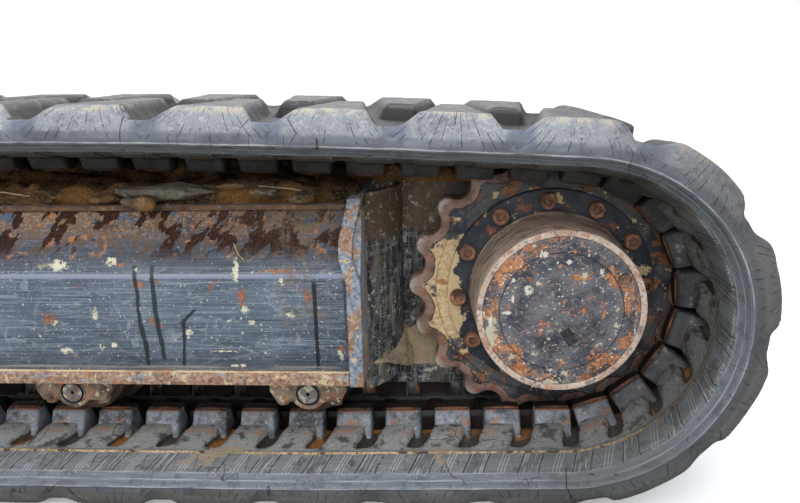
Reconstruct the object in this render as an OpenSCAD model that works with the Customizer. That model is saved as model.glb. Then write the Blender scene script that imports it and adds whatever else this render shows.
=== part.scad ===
// Rubber track unit of a crawler excavator, left hand. Sizes in mm, +Z up.
// Every module is drawn with X = 0 at the sprocket's axis, Y = 0 at the track's outer edge
// and Z = 0 on the ground; place() then puts the origin under the middle of the whole unit.

/* [Track] */
// pitch of one link
pitch = 81; // [70:1:90]
// number of links in the loop
links = 74; // [70:1:80]
// width of the rubber track
track_w = 450; // [400:10:500]
// from the tread's face to the pitch line
tread_to_pitch = 42; // [36:1:48]
// height of the tread blocks
block_h = 22; // [12:1:30]
// from the tread's face to the running surface inside
belt_t = 72; // [64:1:76]
// from the tread's face to the tips of the horns
horn_top = 106; // [98:1:112]
// length of a horn along the track
horn_len = 56; // [44:1:58]
// distance that the outer row of horns leads the cores' bars
horn_lead = 29; // [0:1:32]
// width of the channel that the sprocket runs in
channel_w = 50; // [48:1:60]
// radius of the arch of the top run
arch_r = 16500; // [12000:500:30000]

/* [Sprocket and drive] */
// number of teeth
teeth = 19; // [17:1:21]
// turning position of the teeth in degrees
tooth_phase = 122.1; // [110:0.1:130]
// height of the sprocket's axis
sprocket_z = 296; // [290:1:304]
// thickness of the sprocket
sprocket_t = 39; // [30:1:42]
// radius of the gear housing
housing_r = 125.7; // [110:0.1:130]
// radius of the housing's bolted flange
drive_flange_r = 166.4; // [156:0.1:170]
// from the track's middle to the housing's rim
rim_reach = 138.2; // [120:0.1:150]

/* [Idler and rollers] */
// pitch radius of the track round the idler
idler_pitch_r = 235; // [220:1:245]
// height of the idler's axis
idler_z = 285; // [280:1:300]
// from the sprocket's axis to the first roller
roller_first = 384; // [370:1:400]
// distance between two rollers
roller_gap = 376; // [360:1:390]
// number of bottom rollers
roller_n = 5; // [4:1:6]
// radius of a bottom roller's tread
roller_r = 57; // [50:1:60]
// radius of the carrier roller
carrier_r = 36; // [30:1:38]

/* [Frame] */
// underside of the bottom flanges
flange_z = 188; // [184:1:194]
// thickness of the bottom flanges
flange_t = 22; // [16:1:24]
// half the frame's width across its bottom flanges
frame_half = 166; // [150:1:175]
// height of the fold in the side plates
fold_z = 360; // [340:1:370]
// height of the top plate's upper face
frame_top = 457; // [450:1:458]
// thickness of the side plates
plate_t = 10; // [8:1:14]
// distance of the end plate from the sprocket's axis
end_x = 294; // [280:1:300]
// length of the legs from the frame to their flanges' faces
leg_len = 236; // [150:1:300]
// side of the square bolt pattern on a leg's flange
leg_bolts = 190; // [180:1:200]

/* [Hidden] */
$fa = 6;
$fs = 1.5;
gap = 0.3;
mid_y = track_w / 2;
pitch_r = pitch * teeth / (2 * PI);
tooth_deg = 360 / teeth;
outer_r = pitch_r + tread_to_pitch;
ground_pitch = tread_to_pitch;
horn_in = horn_top - tread_to_pitch;
rim_y = mid_y - rim_reach;
flange_y = mid_y - frame_half;
first_x = -roller_first;
last_x = first_x - roller_gap * (roller_n - 1);
channel_floor = 50;

// Closed pitch line: bottom run, rise, sprocket, arched top run, idler, fall.
// The distance between the axles follows from the number of links.
function rise(cx, cz, r, px, pz) =
    atan2(cz - pz, abs(cx - px)) - asin(r / norm([cx - px, cz - pz]));
rise_s = rise(0, sprocket_z, pitch_r, first_x, ground_pitch);
tan_s = sqrt(pow(roller_first, 2) + pow(sprocket_z - ground_pitch, 2) - pow(pitch_r, 2));
function arch(a) = let (
        d = norm([a, sprocket_z - idler_z]),
        tilt = atan2(sprocket_z - idler_z, a),
        ra = arch_r - pitch_r,
        rb = arch_r - idler_pitch_r,
        along = (ra * ra - rb * rb + d * d) / (2 * d))
    [tilt + acos(along / ra), 180 + tilt - acos((d - along) / rb)];
// angles at which the arch leaves the sprocket and meets the idler, about their axes
function leave_deg(a) = arch(a)[0];
function meet_deg(a) = arch(a)[1];
function rise_i(a) = rise(-a, idler_z, idler_pitch_r, last_x, ground_pitch);
function tan_i(a) = sqrt(pow(a + last_x, 2) + pow(idler_z - ground_pitch, 2)
    - pow(idler_pitch_r, 2));
function loop_len(a) = (first_x - last_x) + tan_s + tan_i(a)
    + (leave_deg(a) + 90 - rise_s) * PI / 180 * pitch_r
    + (meet_deg(a) - leave_deg(a)) * PI / 180 * arch_r
    + (270 - rise_i(a) - meet_deg(a)) * PI / 180 * idler_pitch_r;
function solve(lo, hi, n) = let (m = (lo + hi) / 2)
    n == 0 ? m : loop_len(m) < pitch * links ? solve(m, hi, n - 1) : solve(lo, m, n - 1);
axle = solve(1800, 2800, 40);
idler_x = -axle;
idler_r = idler_pitch_r - horn_in - gap;
// height of the idler's guide ring, and room between it and the frame's front
guide_h = 33;
front_room = 75.4;

leave_s = leave_deg(axle);
meet_i = meet_deg(axle);
arch_c = [arch_r - pitch_r, leave_s];
arch_x = -arch_c[0] * cos(arch_c[1]);
arch_z = sprocket_z - arch_c[0] * sin(arch_c[1]);
// runs of the pitch line: kind (0 straight, 1 arc), start x, start z or centre, start degrees,
// radius or heading, length
runs = [
    [0, last_x, ground_pitch, 0, 0, first_x - last_x],
    [0, first_x, ground_pitch, 0, rise_s, tan_s],
    [1, 0, sprocket_z, rise_s - 90, pitch_r, (leave_s + 90 - rise_s) * PI / 180 * pitch_r],
    [1, arch_x, arch_z, leave_s, arch_r, (meet_i - leave_s) * PI / 180 * arch_r],
    [1, idler_x, idler_z, meet_i, idler_pitch_r,
        (270 - rise_i(axle) - meet_i) * PI / 180 * idler_pitch_r],
    [0, idler_x - idler_pitch_r * sin(rise_i(axle)), idler_z - idler_pitch_r * cos(rise_i(axle)),
        0, -rise_i(axle), tan_i(axle)]
];
// point on the pitch line at a distance along it: [x, z, heading]
function at(s, k = 0) = s < 0 ? at(s + pitch * links, k)
    : k > 5 ? at(s, 0)
    : s > runs[k][5] + 0.0001 ? at(s - runs[k][5], k + 1)
    : runs[k][0] == 0
    ? [runs[k][1] + s * cos(runs[k][4]), runs[k][2] + s * sin(runs[k][4]), runs[k][4]]
    : let (t = runs[k][3] + s / runs[k][4] * 180 / PI)
        [runs[k][1] + runs[k][4] * cos(t), runs[k][2] + runs[k][4] * sin(t), t + 90];
// the bar of a core lies in the gap between two teeth
bar_deg = tooth_phase + tooth_deg / 2 - 7 * tooth_deg;
start_s = runs[0][5] + runs[1][5] + (bar_deg + 90 - rise_s) * PI / 180 * pitch_r;
arc_s = runs[0][5] + runs[1][5];
arch_s = arc_s + runs[2][5];
idler_s = arch_s + runs[3][5];
front_s = idler_s + runs[4][5];
loop = pitch * links;
core_flat = 0.28 * pitch;
function wrap(s) = s - loop * floor(s / loop);
function on_wheel(s) = (s > arc_s - pitch * 0.6 && s < arch_s + pitch * 0.6)
    || (s > idler_s - pitch * 0.6 && s < front_s + pitch * 0.6);
function shift(p, d) = [p[0] + d * cos(p[2]), p[1] + d * sin(p[2])];
// corners of the belt: two to a link on the wheels, where the rigid cores stay straight,
// one to two links on the arch and none on the straight run
order = [for (i = [0 : links - 1]) wrap(start_s + (i - links) * pitch)];
first_link = [for (i = [0 : links - 1]) if (order[i] < pitch) i][0];
function link_s(i) = order[(first_link + i) % links];
corners = [
    for (i = [0 : links - 1]) let (s = link_s(i), p = at(s))
        each on_wheel(s) ? [shift(p, -core_flat), shift(p, core_flat)]
            : s > arch_s && s < idler_s && i % 2 == 0 ? [[p[0], p[1]]]
            : s < runs[0][5] && s > runs[0][5] - pitch ? [[first_x, ground_pitch]]
            : s < pitch ? [[last_x, ground_pitch]]
            : []
];
cn = len(corners);
function turn(a, b) = atan2(b[1] - a[1], b[0] - a[0]);
function bend(d) = d > 180 ? d - 360 : d < -180 ? d + 360 : d;
headings = [for (i = [0 : cn - 1]) turn(corners[i], corners[(i + 1) % cn])];
// cross-section of the belt: across, height above the tread's face
section = [
    [4, block_h + 2], [0, 48], [20, 61], [58, belt_t], [mid_y - channel_w / 2, belt_t],
    [mid_y - channel_w / 2, channel_floor], [mid_y + channel_w / 2, channel_floor],
    [mid_y + channel_w / 2, belt_t], [track_w - 58, belt_t], [track_w - 20, 61],
    [track_w, 48], [track_w - 4, block_h + 2], [track_w - 12, block_h], [12, block_h]
];
sn = len(section);
belt_points = [
    for (i = [0 : cn - 1]) let (
            h0 = headings[(i + cn - 1) % cn],
            d = bend(headings[i] - h0),
            b = h0 + d / 2,
            m = 1 / cos(d / 2))
        for (q = section) let (up = (q[1] - tread_to_pitch) * m)
            [corners[i][0] - sin(b) * up, q[0], corners[i][1] + cos(b) * up]
];
belt_faces = [
    for (i = [0 : cn - 1]) for (j = [0 : sn - 1]) let (
            a = i * sn, b = ((i + 1) % cn) * sn, k = (j + 1) % sn)
        [a + j, a + k, b + k, b + j]
];
// tread blocks taper from the track's edge towards the middle, and lead the cores' bars
// ends of a block: across at the base and at the face, then how far ahead of its middle
// and how far behind it the base and the face reach
block_edge = [5, 14, 80, 42, 57, 42];
block_tip = [256, 244, 40, 18, 30, 18];
block_lead = 62;
block_foot = block_h + 2;

span_x = [idler_x - idler_pitch_r - tread_to_pitch, outer_r];
inner_y = track_w - flange_y;
face_y = inner_y - 7 + leg_len;
module place() translate([-(span_x[0] + span_x[1]) / 2, -face_y / 2, 0]) children();

// a flat outline in X and Z, thick along Y; and one in Y and Z, long along X
module xz(y0, y1) translate([0, y1, 0]) rotate([90, 0, 0]) linear_extrude(y1 - y0) children();
module yz(x0, x1) translate([x0, 0, 0]) rotate([90, 0, 90]) linear_extrude(x1 - x0) children();
// a turned piece about an axis along Y; the outline has radius and Y
module turned(x, z) translate([x, 0, z]) rotate([-90, 0, 0]) rotate_extrude() children();
module on_link(s) translate([at(s)[0], 0, at(s)[1]]) rotate([0, -at(s)[2], 0]) children();
// a turned outline given as radius and distance out from the track's middle, mirrored
function both_ways(half) = concat([for (p = half) [p[0], mid_y - p[1]]],
    [for (i = [len(half) - 1 : -1 : 0]) [half[i][0], mid_y + half[i][1]]]);
module both_sides() {
    children();
    translate([0, track_w, 0]) mirror([0, 1, 0]) children();
}

// one tread block: a bar lofted along the pitch line, one face per side
module tread_block(s, far) {
    function pt(d, y, h) = let (p = at(wrap(s + d)), up = h - tread_to_pitch)
        [p[0] - sin(p[2]) * up, far ? track_w - y : y, p[1] + cos(p[2]) * up];
    pts = [
        for (e = [block_edge, block_tip])
            each [pt(-e[4], e[0], block_foot), pt(e[2], e[0], block_foot),
                pt(e[3], e[1], 0), pt(-e[5], e[1], 0)]
    ];
    faces = [[0, 1, 2, 3], [4, 7, 6, 5], [0, 4, 5, 1], [3, 2, 6, 7], [0, 3, 7, 4], [1, 5, 6, 2]];
    polyhedron(pts, [for (f = faces) far ? [f[3], f[2], f[1], f[0]] : f]);
}

module rubber_track() color([0.16, 0.17, 0.18]) place() {
    polyhedron(belt_points, belt_faces);
    for (i = [0 : links - 1]) tread_block(start_s + i * pitch + block_lead, i % 2 == 1);
}

// steel cores moulded into the belt: two horns each and the bar that the sprocket drives;
// rubber slopes up to each horn from outside, and the steel slopes down behind its top
// a horn's foot stands on the belt's highest point under it, where the belt bends
rim = [for (i = [0 : cn - 1]) [belt_points[i * sn + 3][0], belt_points[i * sn + 3][2]]];
function local(q, p) = let (d = q - [p[0], p[1]])
    [d[0] * cos(p[2]) + d[1] * sin(p[2]), d[1] * cos(p[2]) - d[0] * sin(p[2])];
function mix(a, b, x) = a[1] + (b[1] - a[1]) * (x - a[0]) / (b[0] - a[0]);
function foot(s) = let (p = at(s), e = horn_len / 2) tread_to_pitch + gap + max([
    for (i = [0 : cn - 1]) let (
            a = local(rim[i], p),
            b = local(rim[(i + 1) % cn], p),
            lo = max(a[0], -e),
            hi = min(b[0], e))
        if (lo < hi && abs(mix(a, b, lo)) < 90) max(mix(a, b, lo), mix(a, b, hi))
]);
module horn(s) on_link(s) translate([0, 0, -tread_to_pitch]) yz(-horn_len / 2, horn_len / 2)
    polygon([[mid_y - 109, foot(s)], [mid_y - 88, horn_top - 2], [mid_y - 82, horn_top],
        [mid_y - 58, horn_top], [mid_y - 35, foot(s)]]);
module track_cores() color([0.42, 0.27, 0.18]) place() for (i = [0 : links - 1]) {
    horn(wrap(link_s(i) + horn_lead));
    translate([0, track_w, 0]) mirror([0, 1, 0]) horn(link_s(i));
    on_link(link_s(i)) translate([-12, mid_y - channel_w / 2 + gap, channel_floor + gap
        - tread_to_pitch]) cube([24, channel_w - 2 * gap, 22]);
}

// sprocket: rounded teeth and gaps; each gap cuts a little into its two teeth
tooth_at = 213.5;
tooth_r = 17.5;
gap_at = 229;
gap_bite = 0.3;
gap_c = [gap_at * cos(tooth_deg / 2), gap_at * sin(tooth_deg / 2)];
gap_r = norm(gap_c - [tooth_at, 0]) - tooth_r + gap_bite;
meet = [tooth_at, 0] + (gap_c - [tooth_at, 0]) * tooth_r / (tooth_r + gap_r);
sprocket_y = mid_y - sprocket_t / 2;
web_y = sprocket_y + 3;
module sprocket() color([0.30, 0.24, 0.21]) place() translate([0, 0, sprocket_z]) difference() {
    xz(sprocket_y, sprocket_y + sprocket_t) difference() {
        union() {
            circle(r = norm(meet));
            for (i = [0 : teeth - 1]) rotate(tooth_phase + i * tooth_deg)
                translate([tooth_at, 0]) circle(r = tooth_r);
        }
        for (i = [0 : teeth - 1]) rotate(tooth_phase + (i + 0.5) * tooth_deg)
            translate([gap_at, 0]) circle(r = gap_r);
        circle(r = 112);
    }
    xz(sprocket_y - 1, web_y) circle(r = 186);
    xz(sprocket_y + sprocket_t - 8, sprocket_y + sprocket_t + 1) circle(r = 180);
}

// final drive: turning gear housing with its flange, end cover and plugs
cover_y = rim_y + 4;
hub_back = mid_y + 25;
cover_seat = housing_r - 9.7;
cover_r = cover_seat - 0.4;
lid_r = housing_r - 33.7;
boss_ring = housing_r - 23.7;
bosses = [31, -62, -147];
module drive_housing() color([0.12, 0.13, 0.16]) place() turned(0, sprocket_z) difference() {
    polygon([[0, cover_y + 10], [cover_seat - 8, cover_y + 10], [cover_seat, cover_y],
        [cover_seat, rim_y],
        [housing_r - 2, rim_y], [housing_r, rim_y + 3], [housing_r + 3, web_y - 16],
        [housing_r + 9, web_y - 10], [drive_flange_r, web_y - 10], [drive_flange_r, web_y - gap],
        [111.5, web_y - gap], [111.5, hub_back], [0, hub_back]]);
}
module drive_cover() color([0.14, 0.15, 0.19]) place() {
    turned(0, sprocket_z) polygon([[0, rim_y - 1], [lid_r - 2, rim_y - 1], [lid_r, rim_y + 1],
        [cover_r, rim_y + 1], [cover_r, cover_y], [cover_r - 7.8, cover_y + 9.7],
        [0, cover_y + 9.7]]);
    for (a = bosses) rotate_about(a) turned(boss_ring, 0)
        polygon([[0, rim_y - 1], [12, rim_y - 1], [13, rim_y], [13, rim_y + 2], [0, rim_y + 2]]);
}
module rotate_about(a) translate([0, 0, sprocket_z]) rotate([0, -a, 0]) children();
module drive_plugs() color([0.5, 0.42, 0.35]) place() for (i = [0, 1]) rotate_about(bosses[i])
    turned(boss_ring, 0) polygon([[0, rim_y - 5.3], [7, rim_y - 5.3], [8, rim_y - 4.3],
        [8, rim_y - 1 - gap], [0, rim_y - 1 - gap]]);

// bracket that carries the drive: curved neck, floor and mount plate
mount_y = mid_y + 37;
mount_t = 22;
ledge_z = [122, 140];
lip_z = 103;
neck_top = frame_top + 9;
module mount_plate() color([0.10, 0.11, 0.14]) place() difference() {
    union() {
        xz(mount_y, mount_y + mount_t) translate([0, sprocket_z]) circle(r = 155);
        xz(mount_y, mount_y + mount_t) polygon([[-end_x + gap, ledge_z[1] + gap],
            [-end_x + gap, neck_top], [-60, neck_top], [-60, ledge_z[1] + gap]]);
    }
    translate([0, 0, sprocket_z]) xz(mount_y - 1, mount_y + mount_t + 1) circle(r = 112);
}
neck_r = 150;
neck_x = -392;
module neck_plate() color([0.11, 0.12, 0.14]) place()
    translate([0, 0, ledge_z[1] + gap]) linear_extrude(neck_top - ledge_z[1] - gap)
    intersection() {
        translate([neck_x, mount_y]) difference() {
            circle(r = neck_r);
            circle(r = neck_r - 12);
        }
        translate([-end_x + gap, mount_y - gap - neck_r]) square(neck_r);
    }
module neck_floor() color([0.10, 0.10, 0.11]) place() {
    translate([-end_x + gap, mid_y + 26, ledge_z[0]])
        cube([end_x - 62, 80, ledge_z[1] - ledge_z[0]]);
    translate([-end_x + gap, mid_y + 29, lip_z]) cube([end_x - 70, 10, ledge_z[0] - lip_z + 1]);
}

// frame: two folded side plates on bottom flanges, a top plate and an end plate
side_y = flange_y + 7;
top_y = side_y + 46;
frame_x = [idler_x + idler_r + guide_h + front_room, -end_x - 21 - gap];
module side_section() polygon([[side_y, flange_z + flange_t], [side_y, fold_z],
    [top_y, frame_top - 8], [top_y + plate_t * 1.11, frame_top - 8],
    [side_y + plate_t, fold_z - plate_t * 0.23], [side_y + plate_t, flange_z + flange_t]]);
module outer_side_plate() color([0.13, 0.15, 0.20]) place()
    yz(frame_x[0], frame_x[1]) side_section();
module inner_side_plate() color([0.13, 0.15, 0.20]) place()
    translate([0, track_w, 0]) mirror([0, 1, 0]) yz(frame_x[0], frame_x[1]) side_section();
carrier_x = -1120;
carrier_s = arch_s + (asin(-(carrier_x - arch_x) / arch_r) - (leave_s - 90)) * PI / 180 * arch_r;
carrier_z = at(carrier_s)[1] - horn_in - gap - carrier_r;
window_half = 91;
module top_plate() color([0.22, 0.16, 0.13]) place()
    translate([0, 0, frame_top - 8]) linear_extrude(8) difference() {
        translate([frame_x[0], top_y - 6])
            square([frame_x[1] - frame_x[0], track_w - 2 * top_y + 12]);
        translate([carrier_x - 60, mid_y - window_half]) square([120, 2 * window_half]);
    }
module outer_flange() color([0.30, 0.20, 0.15]) place()
    translate([frame_x[0], flange_y, flange_z])
        cube([frame_x[1] - frame_x[0], 50, flange_t]);
module inner_flange() color([0.16, 0.14, 0.14]) place()
    translate([frame_x[0], inner_y - 50, flange_z])
        cube([frame_x[1] - frame_x[0], 50, flange_t]);
// end plate; outside the frame's section its upper half is bent forward and back
module end_section() polygon([[side_y, flange_z + flange_t], [side_y, fold_z],
    [top_y, frame_top - 8], [track_w - top_y, frame_top - 8],
    [track_w - side_y, fold_z], [track_w - side_y, flange_z + flange_t]]);
module end_outline() polygon([[flange_y, flange_z - 2], [flange_y, fold_z + 4],
    [top_y - 10, frame_top + 9], [track_w - top_y + 10, frame_top + 9],
    [inner_y, fold_z + 4], [inner_y, flange_z - 2]]);
module end_plate() color([0.32, 0.24, 0.20]) place() {
    yz(-end_x - 21, -end_x) end_section();
    intersection() {
        xz(flange_y, inner_y) polygon([[-end_x - 21, flange_z - 2], [-end_x, flange_z - 2],
            [-end_x, 350], [-end_x - 12, 385], [-end_x - 12, 410], [-end_x, frame_top + 9],
            [-end_x - 20, frame_top + 9], [-end_x - 32, 410], [-end_x - 32, 385],
            [-end_x - 21, 350]]);
        yz(-end_x - 60, -end_x + 60) difference() {
            end_outline();
            end_section();
        }
    }
}
module front_plate() color([0.13, 0.15, 0.20]) place() difference() {
    yz(frame_x[0] - 12, frame_x[0] - gap) end_section();
    translate([frame_x[0] - 20, mid_y, idler_z]) rotate([0, 90, 0]) cylinder(r = 34, h = 40);
}

// idler and what holds it: forks, sliding blocks, shaft and yoke
fork_x = [idler_x - 75, frame_x[0] - 12 - gap];
slot_z = 35;
module fork() xz(side_y + plate_t, side_y + plate_t + 24) difference() {
    translate([fork_x[0], idler_z - 58]) square([fork_x[1] - fork_x[0], 116]);
    translate([fork_x[0] - 1, idler_z - slot_z]) square([190, 2 * slot_z]);
}
module outer_fork() color([0.13, 0.15, 0.20]) place() fork();
module inner_fork() color([0.13, 0.15, 0.20]) place()
    translate([0, track_w, 0]) mirror([0, 1, 0]) fork();
module idler_blocks() color([0.2, 0.2, 0.2]) place() both_sides()
    xz(side_y + plate_t - 2, side_y + plate_t + 36) difference() {
        translate([idler_x - 45, idler_z - slot_z + gap]) square([90, 2 * slot_z - 2 * gap]);
        translate([idler_x, idler_z]) circle(r = 22 + gap);
    }
module idler_shaft() color([0.35, 0.33, 0.32]) place() translate([idler_x, side_y + 6, idler_z])
    rotate([-90, 0, 0]) cylinder(r = 22, h = track_w - 2 * side_y - 12);
module idler() color([0.17, 0.17, 0.18]) place() turned(idler_x, idler_z)
    polygon(both_ways([[22.5, 95], [42, 95], [48, 83], [48, 53], [56, 43], [128, 29], [148, 41],
        [150, 85], [idler_r - 5, 87], [idler_r, 82], [idler_r, 27], [idler_r + guide_h, 21]]));
yoke_y = side_y + plate_t + 36 + gap;
yoke_x = [idler_x - 40, frame_x[0] - 28];
module idler_yoke() color([0.2, 0.2, 0.21]) place() difference() {
    union() {
        translate([0, 0, idler_z - 25]) linear_extrude(50) difference() {
            translate([yoke_x[0], yoke_y]) square([yoke_x[1] - yoke_x[0], track_w - 2 * yoke_y]);
            translate([yoke_x[0] - 1, yoke_y + 14])
                square([yoke_x[1] - yoke_x[0] - 29, track_w - 2 * yoke_y - 28]);
        }
        translate([yoke_x[1] - 1, mid_y, idler_z]) rotate([0, 90, 0]) cylinder(r = 24, h = 110);
    }
    translate([idler_x, yoke_y - 1, idler_z]) rotate([-90, 0, 0])
        cylinder(r = 22 + gap, h = track_w - 2 * yoke_y + 2);
}

// bottom rollers with their shafts and brackets, and the carrier roller
roller_z = ground_pitch + horn_in + gap + roller_r;
roller_xs = [for (i = [0 : roller_n - 1]) first_x - i * roller_gap];
module bottom_rollers() color([0.20, 0.18, 0.17]) place() for (x = roller_xs) turned(x, roller_z)
    polygon(both_ways([[20.5, 114], [38, 114], [40, 91], [roller_r, 87], [roller_r, 28],
        [roller_r + 17, 21]]));
shaft_half = 145;
module roller_shafts() color([0.40, 0.36, 0.33]) place() for (x = roller_xs)
    translate([x, mid_y - shaft_half, roller_z]) rotate([-90, 0, 0])
        cylinder(r = 20, h = 2 * shaft_half);
module roller_brackets() color([0.30, 0.22, 0.18]) place() for (x = roller_xs) both_sides()
    translate([x, 0, roller_z]) xz(mid_y - shaft_half + 2, mid_y - 116) difference() {
        union() {
            circle(r = 27);
            polygon([[-60, flange_z - roller_z - gap], [60, flange_z - roller_z - gap], [60, 4],
                [50, -14], [-50, -14], [-60, 4]]);
        }
        circle(r = 20 + gap);
    }
module carrier_roller() color([0.20, 0.18, 0.17]) place() turned(carrier_x, carrier_z)
    polygon(both_ways([[10.5, 86], [carrier_r - 4, 86], [carrier_r, 82], [carrier_r, 29],
        [carrier_r + 10, 21]]));
ear_y = mid_y - 103;
module carrier_shaft() color([0.40, 0.36, 0.33]) place() translate([carrier_x, ear_y, carrier_z])
    rotate([-90, 0, 0]) cylinder(r = 10, h = track_w - 2 * ear_y);
module carrier_ears() color([0.14, 0.15, 0.18]) place() both_sides()
    xz(ear_y, ear_y + 11.5) difference() {
        translate([carrier_x - 45, frame_top]) square([90, carrier_z + 22 - frame_top]);
        translate([carrier_x, carrier_z]) circle(r = 10 + gap);
    }

// travel motor and its port block, on the inner side of the mount plate
mount_back = mount_y + mount_t + gap;
block_y = mount_y + 118;
module travel_motor() color([0.13, 0.14, 0.16]) place() turned(0, sprocket_z)
    polygon([[0, hub_back + gap], [111.5, hub_back + gap], [111.5, mount_back],
        [150, mount_back], [150, mount_back + 15.7], [100, mount_back + 15.7],
        [92, block_y - 62], [84, block_y - 58], [84, block_y - 8], [76, block_y],
        [0, block_y]]);
module port_block() color([0.12, 0.13, 0.15]) place() difference() {
    translate([-62, block_y + gap, sprocket_z - 66]) cube([124, 62, 110]);
    for (p = port_at) translate([p[0], block_y + 62 + gap - p[3], p[1]])
        rotate([-90, 0, 0]) cylinder(r = p[2], h = p[3] + 1);
}
// ports: x, z, radius, depth
port_at = [[-32, sprocket_z + 12, 12.1, 18], [32, sprocket_z + 12, 12.1, 18],
    [-30, sprocket_z - 42, 8.3, 14], [30, sprocket_z - 42, 6, 12]];

// legs towards the machine's middle, with bolted flanges
leg_xs = [-640, -1500];
leg_z = [228, 352];
module leg_tube(x) difference() {
    yz(x - 85, x + 85) translate([inner_y - 7 + gap, leg_z[0]])
        square([leg_len - 20 - 2 * gap, leg_z[1] - leg_z[0]]);
    yz(x - 75, x + 75) translate([inner_y - 10, leg_z[0] + 10])
        square([leg_len, leg_z[1] - leg_z[0] - 20]);
}
module leg_flange(x) difference() {
    xz(face_y - 20, face_y) translate([x - 120, 170]) square([240, 240]);
    for (i = [-1, 1]) for (j = [-1, 1])
        translate([x + i * leg_bolts / 2, face_y - 21, 290 + j * leg_bolts / 2])
            rotate([-90, 0, 0]) cylinder(r = 11, h = 22);
}
module rear_leg() color([0.13, 0.15, 0.20]) place() leg_tube(leg_xs[0]);
module front_leg() color([0.13, 0.15, 0.20]) place() leg_tube(leg_xs[1]);
module rear_leg_flange() color([0.16, 0.16, 0.18]) place() leg_flange(leg_xs[0]);
module front_leg_flange() color([0.16, 0.16, 0.18]) place() leg_flange(leg_xs[1]);
grease_at = [-1700, 250];
module grease_cover() color([0.15, 0.17, 0.22]) place()
    xz(side_y - 6 - gap, side_y - gap) translate(grease_at) square([110, 80]);

rubber_track();
track_cores();
sprocket();
drive_housing();
drive_cover();
drive_plugs();
travel_motor();
port_block();
mount_plate();
neck_plate();
neck_floor();
outer_side_plate();
inner_side_plate();
top_plate();
outer_flange();
inner_flange();
end_plate();
front_plate();
outer_fork();
inner_fork();
idler();
idler_shaft();
idler_blocks();
idler_yoke();
bottom_rollers();
roller_shafts();
roller_brackets();
carrier_roller();
carrier_shaft();
carrier_ears();
rear_leg();
front_leg();
rear_leg_flange();
front_leg_flange();
grease_cover();
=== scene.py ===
"""Rubber track unit of a crawler excavator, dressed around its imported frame."""

import logging
from contextlib import contextmanager
from dataclasses import dataclass, field
from enum import Enum
from math import acos, asin, atan2, cos, degrees, hypot, pi, radians, sin, sqrt, tau
from typing import Callable, Iterable, Iterator, NamedTuple, Optional, Sequence, Union

import bpy
from mathutils import Matrix, Vector, noise


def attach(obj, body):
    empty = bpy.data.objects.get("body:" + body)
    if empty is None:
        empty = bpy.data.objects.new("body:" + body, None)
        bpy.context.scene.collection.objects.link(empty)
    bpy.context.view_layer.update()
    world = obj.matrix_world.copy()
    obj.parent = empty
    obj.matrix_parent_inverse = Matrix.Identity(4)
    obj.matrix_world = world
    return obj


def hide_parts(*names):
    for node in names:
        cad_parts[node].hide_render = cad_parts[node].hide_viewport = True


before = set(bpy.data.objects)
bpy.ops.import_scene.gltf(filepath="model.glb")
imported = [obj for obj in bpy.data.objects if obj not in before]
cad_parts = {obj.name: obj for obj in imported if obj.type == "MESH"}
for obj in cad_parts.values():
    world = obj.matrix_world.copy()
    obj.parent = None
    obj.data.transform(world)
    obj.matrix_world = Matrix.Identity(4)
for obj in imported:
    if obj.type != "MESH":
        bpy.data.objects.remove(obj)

logging.basicConfig(level=logging.INFO, format="%(name)s: %(message)s")
log = logging.getLogger("track_unit")

Piece = bpy.types.Object
Material = bpy.types.Material
# a colour as a screen shows it, each part from 0 to 255
Colour = tuple[float, float, float]
Number = Union[float, "Signal"]
# marks on a plate: the middle in X and Z and the half sizes in X and Z, in mm
Marks = tuple[tuple[float, float, float, float], ...]

MM = 0.001
# the row frame's origin from the sprocket's axis, the track's outer edge and the ground
SHIFT = Vector((1116.07, -310.0, 0.0))
SPROCKET_Z = 296.0
WIDTH = 450.0
MID = WIDTH / 2


def linear(colour: Colour) -> Colour:
    """Turns a colour as a screen shows it into a linear one, from 0 to 1."""
    parts = [value / 255 for value in colour]
    return tuple(p / 12.92 if p <= 0.04045 else ((p + 0.055) / 1.055) ** 2.4 for p in parts)


def smooth(value: float) -> float:
    """Eases a number from 0 to 1, held at both ends."""
    held = min(max(value, 0.0), 1.0)
    return held * held * (3 - 2 * held)


def row(x: float, y: float, z: float) -> Vector:
    """Turns millimetres from the sprocket's axis and the track's edge into the row frame."""
    return (Vector((x, y, z)) + SHIFT) * MM


class Side(Enum):
    """The two edges of the track."""
    OUTER = 1
    INNER = -1

    def across(self, y: float) -> float:
        """Mirrors a distance from the outer edge where the side asks for it."""
        return y if self is Side.OUTER else WIDTH - y


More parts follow.
